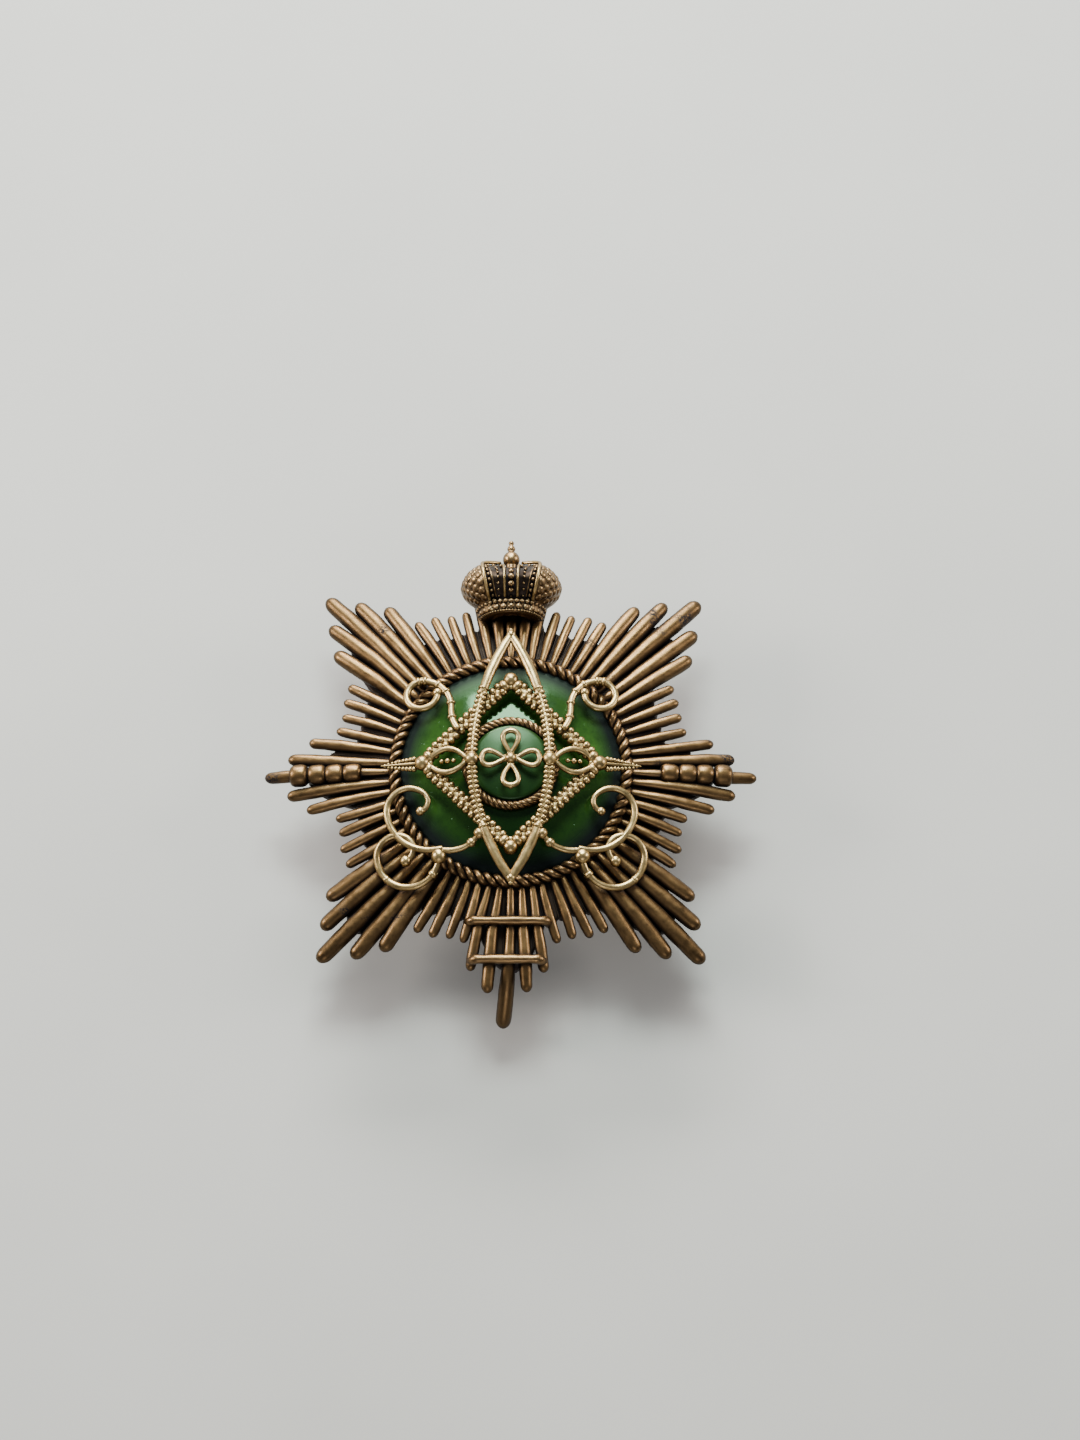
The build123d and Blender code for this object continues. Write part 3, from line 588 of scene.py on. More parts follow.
def make_web():
    """The star's hub and web, flat behind, falling away and rounded at its notched edge."""
    around = RAYS * 6
    edges = [web_reach(share) for share in shares(around)[:-1]]
    bore = 1.5
    rounding = ((0.25, 1.0), (0.55, 1.0), (0.85, 1.0), (0.97, 0.9), (1.0, 0.5))
    # Each ring: the circle it starts from, how far it is from there to the edge, and its depth.
    back = [(start, 0.0, 1.0) for start in (bore, 6.0, BACK_FLAT_RADIUS)]
    back += [(BACK_FLAT_RADIUS, share, depth) for share, depth in rounding]
    face = [(HUB_RADIUS, share, 0.0) for share in (0.98, 0.9, 0.75, 0.5, 0.25, 0.0)]
    rings = []
    for start, share, depth in back + face + [(bore, 0.0, 0.0)]:
        ring = []
        for j, edge in enumerate(edges):
            radius = start + (edge - start) * share
            top = slope_z(HUB_Z, radius, HUB_RADIUS)
            bottom = slope_z(BACK_Z, radius, BACK_FLAT_RADIUS)
            ring.append(polar(radius, 360 * j / around, top - (top - bottom) * depth))
        rings.append(ring)
    shape = Shape()
    shape.loft(rings, closed=True)
    shape.piece("star_web", SHADED_VALLEY_METAL, "star_metal", 0.04, 2.0, nodes=("star_base",))


def make_bead_row(side, name):
    """Four squat beads on a side ray, each running into the next."""
    shape = Shape()
    outwards = Vector((side * math.cos(DROOP), 0, -math.sin(DROOP)))
    half, lift = 0.95, 0.4
    for radius, size in ((16.05, 0.94), (17.85, 1.0), (19.6, 1.06), (21.45, 1.15)):
        profile = []
        for share in shares(14):
            along = -math.cos(math.pi * share) * half
            swell = (1 - abs(along / half) ** 3.2) ** 0.5
            profile.append((along, size * (0.5 + 0.5 * swell)))
        centre = Vector((side * radius, 0, slope_z(RAY_Z, radius, HUB_RADIUS) + lift))
        lathe(shape, centre, outwards, profile, 30)
    shape.piece(name, STAR_METAL, "star_metal", 0.04, 0.9)


def make_crossbar(name, y, length, west):
    """A rounded bar across the south rays, with its ends turned down."""
    shape = Shape()
    half = length / 2 - 0.3
    z = top_of(name) - 0.46
    turned_from, turned_down, sag = 0.86, 0.75, 0.08
    path = []
    for way in shares(40):
        share = 2 * way - 1
        drop = max(0.0, abs(share) - turned_from) / (1 - turned_from)
        path.append(Vector((share * half - west, y, z - turned_down * drop**2 - sag * share**2)))

    def thickness(share):
        return 0.50 + 0.03 * math.cos(math.pi * 4 * share)

    tube(shape, path, thickness, tall=0.95, sides=18, up=NORTH)
    shape.piece(name, ROPE_METAL, "star_metal", 0.05, 0.8)


# ---- Rope rings and enamel ----


def make_rope(name, radius, size, z, turns, strands):
    """Strands twisted round a ring."""
    shape = Shape()
    strand = size / 2
    steps = turns * 18
    for n in range(strands):
        rings = []
        for i in range(steps):
            around = 2 * math.pi * i / steps
            twist = -turns * around + n * 2 * math.pi / strands
            outward = Vector((math.cos(around), math.sin(around), 0))
            spoke = outward * math.cos(twist) + UP * math.sin(twist)
            centre = outward * radius + UP * z + spoke * strand
            along = Vector((-math.sin(around), math.cos(around), 0)) * radius
            along += (outward * math.sin(twist) - UP * math.cos(twist)) * (turns * strand)
            side = along.normalized().cross(spoke).normalized()
            rings.append(circle(centre, side, spoke, strand, strand, 12))
        shape.loft(rings, closed=True)
    shape.piece(name, ROPE_METAL, "rope_metal", 0.03, 0.7)


def make_enamel_dome():
    """The main enamel: a shallow dome with a rounded rim, thin at its edge."""
    rim = DISH_TOP
    hole, shoulder, thickness, gap = 0.9, 10.98, 0.5, 0.02
    outer = []
    for share in shares(39):
        radius = hole + (shoulder - hole) * share
        outer.append((cap_z(rim + thickness, DOME_RADIUS, DOME_SAG, radius), radius))
    edge = [(rim + 0.42, 11.16), (rim + 0.28, 11.24), (rim + 0.12, 11.25)]
    inner = [(cap_z(rim + gap, DOME_RADIUS, DOME_SAG, r), r) for r in (10.9, 8.0, 5.0, 2.5, hole)]
    shape = Shape()
    lathe(shape, (0, 0, 0), UP, outer + edge + inner, 160)
    shape.piece("enamel_dome", ENAMEL, "green_enamel", 0.03, 4.0)


def make_boss_enamel():
    """The enamel cap on the boss."""
    shape = Shape()
    base = BOSS_RIM_Z - 0.35
    shoulder = 3.82
    profile = [(base, 0.01), (base, 3.9), (base + 0.15, 3.98), (BOSS_RIM_Z - 0.1, 3.93)]
    for share in shares(17):
        radius = shoulder * (1 - share)
        profile.append((cap_z(BOSS_RIM_Z, BOSS_RADIUS, BOSS_SAG, radius), radius))
    lathe(shape, (0, 0, 0), UP, profile, 96)
    shape.piece("boss_enamel", BOSS_ENAMEL, "green_enamel", 0.02, 2.0)


# ---- Ornament ----


def dome_frame(x, y):
    """Origin and axes of a plane that touches the ornament's dome above (x, y)."""
    origin = Vector((x, y, ORNAMENT_TOP - (x * x + y * y) / (2 * ORNAMENT_DOME)))
    out = Vector((x, y, ORNAMENT_DOME)).normalized()
    east = Vector((ORNAMENT_DOME, 0, -x)).normalized()
    return origin, east, out.cross(east)


def arc_points(start, heading, turns):
    """Points along arcs that run on from each other: each (radius, degrees) turns left if positive."""
    step = 5.0
    x, y = start
    points = [(x, y)]
    for radius, turn in turns:
        facing = math.radians(heading + (90 if turn > 0 else -90))
        middle = (x + radius * math.cos(facing), y + radius * math.sin(facing))
        count = max(4, round(abs(turn) / step))
        for i in range(1, count + 1):
            spoke = facing + math.pi + math.radians(turn) * i / count
            points.append((middle[0] + radius * math.cos(spoke), middle[1] + radius * math.sin(spoke)))
        (x, y), heading = points[-1], heading + turn
    return points


def scroll_path(side, place, start, heading, turns):
    """A scroll's centreline on the ornament's dome."""
    origin, east, north = dome_frame(side * place[0], place[1])
    flat = arc_points((start[0] - place[0], start[1] - place[1]), heading, turns)
    return [origin + east * (side * x) + north * y for x, y in flat]


def collar(shape, path, share, size, width):
    """A small turned collar round a wire."""
    i = min(len(path) - 2, max(1, round(share * (len(path) - 1))))
    ahead = (path[i + 1] - path[i - 1]).normalized()
    ball(shape, path[i], size, squash=width, axis=ahead, sides=18)


def bead_pair(shape, middle, ahead, offset, size, squash, sides):
    """Two beads side by side on a bar that runs ahead."""
    across = ahead.cross(UP).normalized() * offset
    for centre in (middle - across, middle + across):
        ball(shape, centre, size, squash=squash, axis=ahead, sides=sides)


def ornament_piece(shape, name, rough, grain):
    """Makes a piece of the openwork ornament."""
    shape.piece(name, WIRE_METAL, "ornament_metal", rough, grain)


def swelling(thin, swell, hurry=1.0):
    """A wire's radius by the share of its way: thicker between its ends, and sooner with more hurry."""
    return lambda share: thin + swell * math.sin(math.pi * min(1.0, share * hurry))


def make_upper_scroll(side, name):
    """A knuckled stem that bends over into a plain ring with a ball at its end."""
    path = scroll_path(side, UPPER_RING, (5.19, 3.57), 55, [(4.0, 35), (3.4, -80), (1.6, -285)])
    shape = Shape()
    tube(shape, path, lambda share: 0.34 + 0.02 * share, sides=18)
    for n in range(6):
        collar(shape, path, 0.05 + 0.06 * n, 0.49, 0.62)
    ball(shape, path[-1], 0.50)
    ornament_piece(shape, name, 0.03, 0.8)


def make_lower_scroll(side, name):
    """An open hook with a small ball at its inner end."""
    path = scroll_path(side, LOWER_HOOK, (7.0, -8.9), -12, [(4.6, 92), (2.3, 150), (1.0, 120)])
    shape = Shape()
    tube(shape, path, swelling(0.29, 0.08, 1.15), sides=16)
    ball(shape, path[-1], 0.45)
    ornament_piece(shape, name, 0.03, 0.8)


def make_foot_scroll(side, name):
    """A wide hook with a large ball at its foot, two collars and a ball at its inner end."""
    path = scroll_path(side, FOOT_RING, (7.12, -9.6), -85, [(3.2, 175), (2.1, 120), (1.3, 130)])
    shape = Shape()
    tube(shape, path, swelling(0.31, 0.06), sides=18)
    ball(shape, path[0], 0.80, sides=28)
    ball(shape, path[-1], 0.60, sides=24)
    collar(shape, path, 0.08, 0.50, 0.8)
    collar(shape, path, 0.30, 0.43, 0.9)
    ornament_piece(shape, name, 0.03, 0.8)


def make_diamond_bar(name, first, second):
    """A side of the diamond: two rows of beads on a flat backing, with a stop bead at each end."""
    shape = Shape()
    bead, bead_pitch, row_offset = 0.44, 0.72, 0.38
    bead_start, stop_start, backing_start = 1.5, 0.95, 0.9
    start, end = (polar(DIAMOND, angle, DIAMOND_Z) for angle in (first, second))
    along = (end - start).normalized()
    run = (end - start).length - 2 * bead_start
    tube(shape, [start + along * backing_start, end - along * backing_start], 0.58, tall=0.5, sides=14)
    count = round(run / bead_pitch)
    for n in range(count + 1):
        middle = start + along * (bead_start + run * n / count)
        swell = 1 + 0.06 * math.sin(n * 1.3)
        bead_pair(shape, middle + UP * 0.08, along, row_offset, bead * swell, squash=0.84, sides=16)
    for stop in (start + along * stop_start, end - along * stop_start):
        ball(shape, stop, 0.70, squash=0.72, axis=along, sides=22)
    ornament_piece(shape, name, 0.025, 0.5)


def oval_point(up, side, share):
    """A point on the pointed oval's wire, from the waist (0) to the apex (1)."""
    waist_gap = 0.7
    height = APEX[up] / math.cos(OVAL_TILT)
    bow = (OVAL_HALF_WIDTH**2 + height**2) / (2 * OVAL_HALF_WIDTH)
    y = waist_gap + (height - waist_gap) * share
    x = OVAL_HALF_WIDTH - bow + math.sqrt(max(0.0, bow * bow - y * y))
    return Vector((side * x, up * y * math.cos(OVAL_TILT), OVAL_Z - y * math.sin(OVAL_TILT)))


def make_arch(up, name):
    """Half of the pointed oval: beaded near the waist, plain and heavier towards its point."""
    shape = Shape()
    beaded = 0.52
    bead, bead_pitch, row_offset = 0.32, 0.52, 0.27
    for side in (1, -1):
        backing = [oval_point(up, side, beaded * share) for share in shares(12)]
        tube(shape, backing, 0.38, tall=0.7, sides=12)
        plain = [oval_point(up, side, beaded + (1 - beaded) * share) for share in shares(24)]
        tube(shape, plain, lambda share: 0.43 + 0.10 * math.sin(math.pi * share**0.8), tall=0.9, sides=20)
        run = sum((b - a).length for a, b in zip(backing, backing[1:]))
        count = round(run / bead_pitch)
        for n in range(count):
            share = beaded * (n + 0.5) / count
            here = oval_point(up, side, share)
            ahead = oval_point(up, side, share + 0.01) - here
            bead_pair(shape, here + UP * 0.1, ahead, row_offset, bead, squash=0.82, sides=14)
        collar(shape, plain, 0.02, 0.56, 0.5)
    tip = oval_point(up, 1, 1.0)
    ball(shape, tip, 0.50, sides=20)
    ball(shape, tip + Vector((0, 0.5 * up, 0.02)), 0.24, sides=14)
    ornament_piece(shape, name, 0.03, 0.7)


def make_waist_ball(side, name):
    """The ball between the halves of the pointed oval, with a collar above and below."""
    shape = Shape()
    centre = Vector((side * OVAL_HALF_WIDTH, 0, OVAL_Z))
    ball(shape, centre, 0.74, sides=30)
    for y in (-0.62, 0.62):
        ball(shape, centre + Vector((0, y, -0.04)), 0.46, squash=0.42, axis=NORTH, sides=20)
    ornament_piece(shape, name, 0.03, 0.8)


def make_corner_balls():
    """The balls at the diamond's corners, each with a smaller, flatter one on its inner side."""
    shape = Shape()
    for angle in (0, 90, 180, 270):
        centre = polar(DIAMOND, angle, DIAMOND_Z)
        ball(shape, centre, 0.78, sides=30)
        ball(shape, polar(DIAMOND - 0.72, angle, DIAMOND_Z + 0.05), 0.4, squash=0.7, axis=centre, sides=18)
    ornament_piece(shape, "corner_balls", 0.03, 1.0)


def make_quatrefoil():
    """Four teardrop loops of fine wire round a ball, with a small ball on each loop."""
    shape = Shape()
    z = 12.62
    foot, length, width, rise = 0.5, 2.4, 1.1, 0.12
    for quarter in range(4):
        out = polar(1.0, 90 * quarter, 0)
        across = UP.cross(out)
        loop = []
        for share in shares(48):
            turn = 2 * math.pi * share
            far = (1 - math.cos(turn)) / 2
            sideways = width * math.sin(turn) * far**0.7
            loop.append(out * (foot + length * far) + across * sideways + UP * (z + rise * far))
        tube(shape, loop, swelling(0.22, 0.07), sides=14)
        ball(shape, out * 3.02 + UP * (z + 0.05), 0.27, sides=14)
    ball(shape, (0, 0, z + 0.05), 0.6, sides=30)
    for eighth in range(8):
        ball(shape, polar(0.62, 45 * eighth + 22.5, z + 0.02), 0.15, sides=10)
    ornament_piece(shape, "quatrefoil", 0.02, 0.6)


def make_spindle(side, name):
    """A pointed leaf: a ridge of wire between two rows of beads that shrink to the tip."""
    origin, east, north = dome_frame(side * DIAMOND, 0)
    out = east * side
    over = east.cross(north)
    shape = Shape()
    spine = [origin + out * (0.5 + 3.7 * share) + over * (0.2 - 0.12 * share) for share in shares(16)]
    tube(shape, spine, lambda share: 0.19 * (1 - 0.55 * share), sides=12)
    for row in (-1, 1):
        for share in shares(8):
            size = 0.31 * (1 - 0.55 * share)
            away = row * (0.44 * (1 - share) ** 0.7 + 0.08)
            ball(shape, origin + out * (0.85 + 3.0 * share) + north * away, size, sides=12)
    backing = [origin + out * (0.4 + 3.5 * share) - over * 0.08 for share in shares(12)]
    tube(shape, backing, lambda share: 0.5 * (1 - share) ** 0.7 + 0.1, tall=0.3, sides=12)
    ornament_piece(shape, name, 0.02, 0.5)


def bowed(points):
    """Points along a smooth bow through three points."""
    a, b, c = (Vector(p) for p in points)
    middle = b * 2 - (a + c) / 2
    return [a * (1 - t) ** 2 + middle * (2 * t * (1 - t)) + c * t * t for t in shares(24)]


def make_tendrils(side, name):
    """The pair of bowed wires between a corner of the diamond and the waist ball, and three beads."""
    shape = Shape()
    inner = OVAL_HALF_WIDTH + 0.55
    outer = DIAMOND - 0.55
    for bow in (1.25, -1.25):
        near = (side * inner, 0.12 * bow, OVAL_Z - 0.15)
        far = (side * outer, 0.12 * bow, DIAMOND_Z + 0.2)
        path = bowed([near, (side * (inner + outer) / 2, bow, (OVAL_Z + DIAMOND_Z) / 2 + 0.1), far])
        tube(shape, path, swelling(0.24, 0.06), sides=14)
    for n in range(3):
        ball(shape, (side * (5.75 + 0.6 * n), 0, 11.85 - 0.14 * n), 0.3 - 0.05 * abs(n - 1), sides=14)
    ornament_piece(shape, name, 0.02, 0.6)


def make_swag(side, name):
    """The wire that hangs from the pointed oval to the foot scroll's ball, with two balls on it."""
    shape = Shape()
    path = bowed([(side * 2.8, -7.0, 11.65), (side * 4.4, -8.75, 11.1), (side * 6.7, -9.05, 10.55)])
    tube(shape, path, lambda share: 0.28 + 0.05 * share, sides=14)
    ball(shape, path[3], 0.60, sides=24)
    ball(shape, path[9], 0.50, squash=0.9, sides=22)
    ornament_piece(shape, name, 0.02, 0.6)


# ---- Crown ----


def round_crown(radius, angle, y):
    """A point on a circle round the crown's axis, by its angle from the east."""
    turn = math.radians(angle)
    return Vector((radius * math.cos(turn), y, CROWN_Z + radius * math.sin(turn)))


def crown_outline(share):
    """The crown's outline, from its foot (0) to its top (1): (radius, y) on a smooth curve."""
    spans = len(CROWN_PROFILE) - 1
    place = min(share, 0.9999) * spans
    i = int(place)
    t = place - i
    p = [Vector(CROWN_PROFILE[min(max(i + d, 0), spans)]) for d in (-1, 0, 1, 2)]
    part = p[1] * 2 + (p[2] - p[0]) * t
    part += (p[0] * 2 - p[1] * 5 + p[2] * 4 - p[3]) * t * t
    part += (p[1] * 3 - p[0] - p[2] * 3 + p[3]) * t**3
    return part / 2


def crown_point(share, angle, lift=0.0):
    """A point on the crown's outside, raised by lift."""
    here = crown_outline(share)
    ahead = (crown_outline(min(1.0, share + 0.01)) - crown_outline(max(0.0, share - 0.01))).normalized()
    return round_crown(here.x + ahead.y * lift, angle, here.y - ahead.x * lift)


def rib_line(share):
    """The slanted rib's distance from the crown's middle: it leans out, then follows the outline in."""
    outwards = 1.95 + 1.6 * share
    inwards = 0.8 * crown_outline(share).x
    blend = 0.2
    return -blend * math.log(math.exp(-outwards / blend) + math.exp(-inwards / blend))


def middle_lift(share):
    """The middle arch's height over the crown's outline: it sinks in towards the top."""
    return -0.05 - 1.0 * max(0.0, share - 0.45)


def side_lift(share):
    """How far the crown's swollen sides stand out past its outline."""
    return 0.22 * math.sin(math.pi * min(1.0, share * 1.15))


def step_up(value, start, width):
    """0 below start, 1 past start + width, and smooth between."""
    t = min(1.0, max(0.0, (value - start) / width))
    return t * t * (3 - 2 * t)


def strip_lift(share, x):
    """The sunk strip's height over the crown's outline: it climbs from the middle to the slanted rib."""
    climb = step_up(x, rib_line(share) - 1.25, 0.7)
    sunk = middle_lift(share) - STRIP_DEPTH
    return sunk + (side_lift(share) - 0.36 - sunk) * climb


def crown_at(share, x, lift):
    """A point on the crown's outside by its distance from the middle plane."""
    radius = crown_outline(share).x + lift
    return crown_point(share, math.degrees(math.acos(max(-1.0, min(1.0, x / radius)))), lift)


def make_crown_shell():
    """The crown's wall: two swollen sides, and between them a sunk strip painted dark as shade."""
    shape = Shape()
    around = 140
    levels = 40
    wall = 1.2
    angles = [180 * share for share in shares(around)]
    rings = []
    for share in shares(levels):
        outside = []
        for a in angles:
            x = abs(crown_outline(share).x * math.cos(math.radians(a)))
            side = step_up(x, rib_line(share) - 0.2, 0.2)
            sunk = strip_lift(share, x)
            outside.append(crown_point(share, a, sunk + (side_lift(share) - sunk) * side))
        inside = [crown_point(share, a, -wall) for a in reversed(angles)]
        rings.append(outside + inside)
    shape.loft(rings)
    crown = shape.piece("crown_shell", CROWN_METAL, "crown_metal", 0.03, 0.8)
    # The sunk strip takes the near-black recess brass, as painted shade in the crown's hollow.
    crown.data.materials.append(SHADED_RECESS_METAL)
    count = len(rings[0])
    for face in crown.data.polygons:
        level, place = divmod(face.index, count)
        if level < levels and place < around:
            share = level / levels
            x = abs(crown_outline(share).x * math.cos(math.radians(angles[place])))
            face.material_index = 1 if x < rib_line(share) - 0.12 else 0


def crown_rib(shape, line, size, first, last, lift, tall=1.0):
    """A raised rib up the crown along a line of distances from the middle."""
    ups = [first + (last - first) * way for way in shares(36)]
    path = [crown_at(share, line(share), lift(share)) for share in ups]
    tube(shape, path, size, tall=tall, sides=12)


def crown_beads(shape, line, sizes, first, last):
    """A row of beads up the crown's strip along a line of distances from the middle."""
    for n, size in enumerate(sizes):
        share = first + (last - first) * n / (len(sizes) - 1)
        x = line(share)
        for side in (1, -1) if x else (1,):
            ball(shape, crown_at(share, side * x, strip_lift(share, x) + 0.8 * size), size, sides=14)


def crown_knob(shape, share, angle, lift):
    """A flat round knob on the crown's side."""
    place = crown_point(share, angle, side_lift(share) + lift)
    out = crown_point(share, angle, 1.0) - crown_point(share, angle)
    ball(shape, place, random.uniform(0.43, 0.48), squash=0.5, axis=out, sides=16)


def make_crown_bands():
    """The crown's arches: smooth ribs with rows of beads between them, and knobbly sides."""
    shape = Shape()
    fine = 0.76
    knob_rows, knobs_in_row = 7, 7
    knob_pitch, row_pitch = 0.1, 0.74
    lowest_angle = 3

    def arch(share):
        return middle_lift(share) - 0.08

    def thickness(way):
        return 0.15 + 0.05 * way

    def slant(share):
        return side_lift(share) + 0.08 + 0.2 * min(share, 0.7) ** 2

    def beside(share):
        return strip_lift(share, rib_line(share) - fine) + 0.05

    for side in (1, -1):
        crown_rib(shape, lambda share: side * (0.58 + 0.22 * share), 0.14, 0.19, 0.94, arch, tall=1.6)
        crown_rib(shape, lambda share: side * rib_line(share), thickness, 0.18, 0.96, slant)
    bright_faces = len(shape.faces)
    for side in (1, -1):
        crown_rib(shape, lambda share: side * (rib_line(share) - fine), 0.08, 0.19, 0.92, beside)
        for row in range(knob_rows):
            for n in range(knobs_in_row):
                share = 0.235 + knob_pitch * (n + row % 2 / 2)
                radius = crown_outline(share).x
                away = (0.5 + row_pitch * row) / radius
                angle = math.degrees(math.acos(rib_line(share) / radius) - away)
                if angle > lowest_angle:
                    sunk = 0.06 + 0.08 * step_up(30 - angle, 0, 20)
                    crown_knob(shape, share, 90 - (90 - angle) * side, -sunk)
    crown_beads(shape, lambda share: rib_line(share) - 0.42, [0.19] * 12, 0.15, 0.95)
    crown_beads(shape, lambda share: min(1.10 + 0.5 * share, rib_line(share) - 0.9), [0.14] * 8, 0.19, 0.82)
    crown_beads(shape, lambda share: 0.0, [0.13, 0.29, 0.34, 0.33, 0.28, 0.24, 0.21, 0.18], 0.175, 0.83)
    bands = shape.piece("crown_bands", CROWN_METAL, "crown_metal", 0.02, 0.5)
    bands.data.materials.append(WIRE_METAL)
    for face in bands.data.polygons:
        face.material_index = 1 if face.index < bright_faces else 0


def make_crown_rim():
    """The band round the crown's foot, with set stones, fine lower beads and a thick underside."""
    shape = Shape()
    underside = [(16.8, 1.5), (16.5, 1.7), (16.36, 2.2), (16.38, 2.75), (16.5, 3.02)]
    band = [(16.7, 3.1), (17.5, 3.34), (17.7, 3.3), (17.7, 1.5)]
    outline = underside + band
    shape.loft([[round_crown(radius, 180 * share, y) for y, radius in outline] for share in shares(60)])
    for share in shares(12):
        angle = 6 + 168 * share
        out = round_crown(1.0, angle, 0) - Vector((0, 0, CROWN_Z))
        ball(shape, round_crown(3.22, angle, 17.02), 0.34, squash=0.7, axis=out, sides=10)
    for share in shares(31):
        ball(shape, round_crown(3.1, 3 + 174 * share, 16.58), 0.16, squash=0.8, axis=NORTH, sides=10)
    shape.piece("crown_rim", CROWN_METAL, "crown_metal", 0.015, 0.5)


def make_crown_pearls():
    """The row of round beads on the rim's upper edge."""
    shape = Shape()
    for share in shares(18):
        ball(shape, round_crown(3.42, 5 + 170 * share, 17.5), 0.24, sides=16)
    shape.piece("crown_pearls", CROWN_METAL, "crown_metal")


def make_crown_seat():
    """The wall inside the crown that carries it on the star."""
    shape = Shape()
    half_foot, foot_z = 2.2, 7.0
    foot = [(-half_foot, CROWN_Z), (-half_foot, foot_z), (half_foot, foot_z), (half_foot, CROWN_Z)]
    rings = []
    for y in (18.55, 19.05):
        arch = [round_crown(3.3, 180 * share, y) for share in shares(30)]
        rings.append(arch + [Vector((x, y, z)) for x, z in foot])
    shape.loft(rings)
    shape.piece("crown_seat", SHADED_VALLEY_METAL, "crown_metal")


def make_crown_orb():
    """The ball on the crown, its neck, and the two beads of its spire."""
    shape = Shape()
    size = 0.87
    neck = [(-1.6, 0.62), (-0.72, 0.60)]
    round_part = []
    for share in shares(16):
        turn = math.pi * (0.24 + 0.62 * share)
        round_part.append((-math.cos(turn) * size, math.sin(turn) * size))
    spire = [
        (0.86, 0.34), (0.93, 0.32), (1.02, 0.39), (1.18, 0.43), (1.36, 0.36), (1.52, 0.24),
        (1.60, 0.19), (1.68, 0.24), (1.80, 0.29), (1.94, 0.24), (2.06, 0.10),
    ]
    lathe(shape, (0, 22.86, CROWN_Z + 1.1), NORTH, neck + round_part + spire, 28)
    shape.piece("crown_orb", CROWN_METAL, "crown_metal", 0.02, 0.6)


# ---- Fastening ----


def make_post():
    """The post with its 0.5 mm thread, narrower at its free end."""
    shape = Shape()
    around = 40
    pitch, crest, root = 0.5, 1.49, 1.2
    bottom, top = 0.32, 7.3
    rings = []
    for share in shares(round((top - bottom) / pitch * 10)):
        z = bottom + (top - bottom) * share
        ring = []
        for j in range(around):
            wave = abs(((z / pitch - j / around) % 1.0) * 2 - 1)
            radius = min(root + (crest - root) * wave, 1.15 + (z - bottom) * 1.2)
            ring.append(polar(radius, 360 * j / around, z))
        rings.append(ring)
    shape.loft(rings)
    shape.piece("threaded_post", FASTENER_METAL, "fastener_metal")


def make_nut():
    """The round nut: a knurled rim, a recessed face and a plain hub round its bore."""
    shape = Shape()
    around, grooves, depth = 480, 40, 0.22
    rim = [(2.6, 1.57), (2.6, 7.5), (2.5, 7.78), (2.3, 7.98), (0.36, 7.98), (0.14, 7.8), (0.0, 7.5)]
    recess = [(0.0, 6.7), (0.1, 6.55), (0.45, 6.4), (0.5, 6.2), (0.5, 3.3), (0.45, 3.1), (0.1, 3.0)]
    hub = [(0.0, 2.85), (0.0, 1.7), (0.12, 1.57)]
    rings = []
    for z, radius in rim + recess + hub:
        ring = []
        for j in range(around):
            wave = max(0.0, math.cos(grooves * 2 * math.pi * j / around)) ** 2
            groove = depth * wave if radius > 7.7 else 0.0
            ring.append(polar(radius - groove, 360 * j / around, z))
        rings.append(ring)
    shape.loft(rings, closed=True)
    shape.piece("clamp_nut", FASTENER_METAL, "fastener_metal", body="nut")


# ---- Scene ----

BADGE_MIDDLE = Vector((0, 0, 0.009))


def make_floor():
    """A plain pale floor."""
    made, tree, shader = material("floor")
    where = millimetres(tree)
    clouds = spread(tree, noise_of(tree, where, 60.0), 0.3, 0.7)
    tone = blend_colours(tree, clouds, (0.60, 0.60, 0.60), (0.66, 0.66, 0.655))
    feed(tree, shader.inputs["Base Color"], tone)
    shader.inputs["Roughness"].default_value = 0.8
    bpy.ops.mesh.primitive_plane_add(size=3.0, location=(0, 0, 0))
    floor = bpy.context.object
    floor.name = "floor"
    floor.data.materials.append(made)


def place_facing(name, data, place, back):
    """Puts a light or the camera at its place, facing away from back."""
    obj = bpy.data.objects.new(name, data)
    obj.location = place
    obj.rotation_mode = "QUATERNION"
    obj.rotation_quaternion = back.to_track_quat("Z", "Y")
    bpy.context.scene.collection.objects.link(obj)
    return obj


def soft_light(name, place, width, height, power, colour):
    """A rectangular light that faces the badge, in metres and watts."""
    data = bpy.data.lights.new(name, "AREA")
    data.shape = "RECTANGLE"
    data.size, data.size_y = width, height
    data.energy = power
    data.color = colour
    place_facing(name, data, place, Vector(place) - BADGE_MIDDLE)


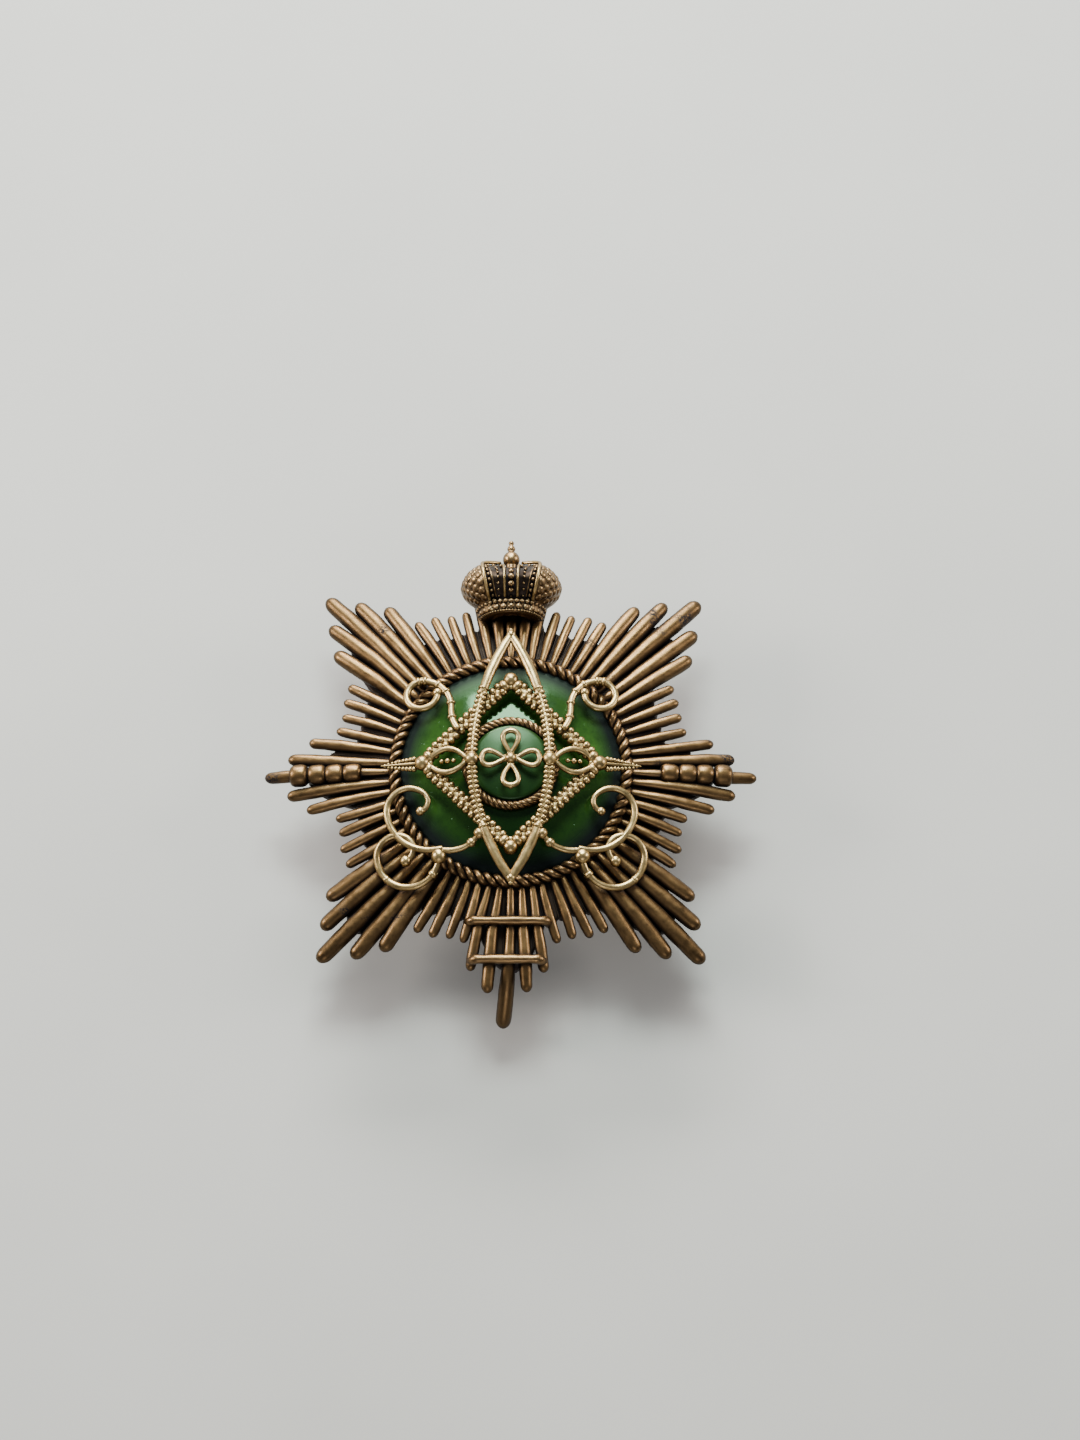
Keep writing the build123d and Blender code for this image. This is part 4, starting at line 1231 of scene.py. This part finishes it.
def make_lights():
    """A window-like light north of the badge, softer ones beside it, and a dim room."""
    soft_light("window", (-0.01, 0.24, 0.28), 0.15, 0.12, 1.5, (0.90, 1.0, 0.92))
    soft_light("north_key", (-0.06, 0.50, 0.20), 0.36, 0.10, 4.6, (1.0, 0.95, 0.88))
    soft_light("west_fill", (-0.42, 0.10, 0.20), 0.16, 0.16, 1.8, (1.0, 0.93, 0.84))
    soft_light("east_fill", (0.42, 0.10, 0.18), 0.14, 0.14, 1.0, (1.0, 0.93, 0.84))
    soft_light("front_fill", (0.0, -0.60, 0.30), 0.3, 0.2, 0.7, (1.0, 0.97, 0.93))
    world = bpy.data.worlds.new("room")
    world.use_nodes = True
    background = world.node_tree.nodes["Background"]
    background.inputs["Color"].default_value = (0.80, 0.82, 0.85, 1)
    background.inputs["Strength"].default_value = 0.17
    bpy.context.scene.world = world


def make_camera():
    """A long lens from the south, 70 degrees up."""
    data = bpy.data.cameras.new("camera")
    data.lens = 120
    data.sensor_width = 36
    data.clip_start, data.clip_end = 0.01, 10
    target = Vector((2.94, 5.5, 8.7)) * MM
    height = math.radians(70)
    distance = 0.487
    back = Vector((0, -math.cos(height), math.sin(height)))
    bpy.context.scene.camera = place_facing("camera", data, target + back * distance, back)


make_camera()
make_floor()
make_lights()
make_web()
make_rays()
make_hooked_ray()
make_valley_ridges()
make_crossbar("upper_crossbar", y=-15.75, length=8.7, west=0.2)
make_crossbar("lower_crossbar", y=-19.65, length=7.7, west=0.35)
boss_rope_z = (bottom_of("boss_rope_ring") + top_of("boss_rope_ring")) / 2
make_rope("rope_ring", radius=11.72, size=0.70, z=HUB_Z + 0.62, turns=35, strands=2)
make_rope("boss_rope_ring", radius=4.48, size=0.50, z=boss_rope_z, turns=16, strands=3)
make_enamel_dome()
make_boss_enamel()
for quarter, bar in enumerate(("east_north", "north_west", "west_south", "south_east")):
    make_diamond_bar(f"diamond_bar_{bar}", 90 * quarter, 90 * quarter + 90)
make_arch(1, "upper_arch")
make_arch(-1, "lower_arch")
make_corner_balls()
make_quatrefoil()
PAIRS = {
    "bead_row": make_bead_row,
    "upper_scroll": make_upper_scroll,
    "lower_scroll": make_lower_scroll,
    "foot_scroll": make_foot_scroll,
    "waist_ball": make_waist_ball,
    "spindle": make_spindle,
    "tendrils": make_tendrils,
    "swag": make_swag,
}
for side, word in ((-1, "west"), (1, "east")):
    for kind, make in PAIRS.items():
        make(side, f"{word}_{kind}")
make_crown_shell()
make_crown_bands()
make_crown_rim()
make_crown_pearls()
make_crown_seat()
make_crown_orb()
make_post()
make_nut()
paint_cad("enamel_dish", ROPE_METAL)
paint_cad("boss_cup", ROPE_METAL)
paint_cad("ornament_pins", WIRE_METAL)
paint_cad("locating_spikes", FASTENER_METAL)
paint_cad("clamp_plate", FASTENER_METAL)
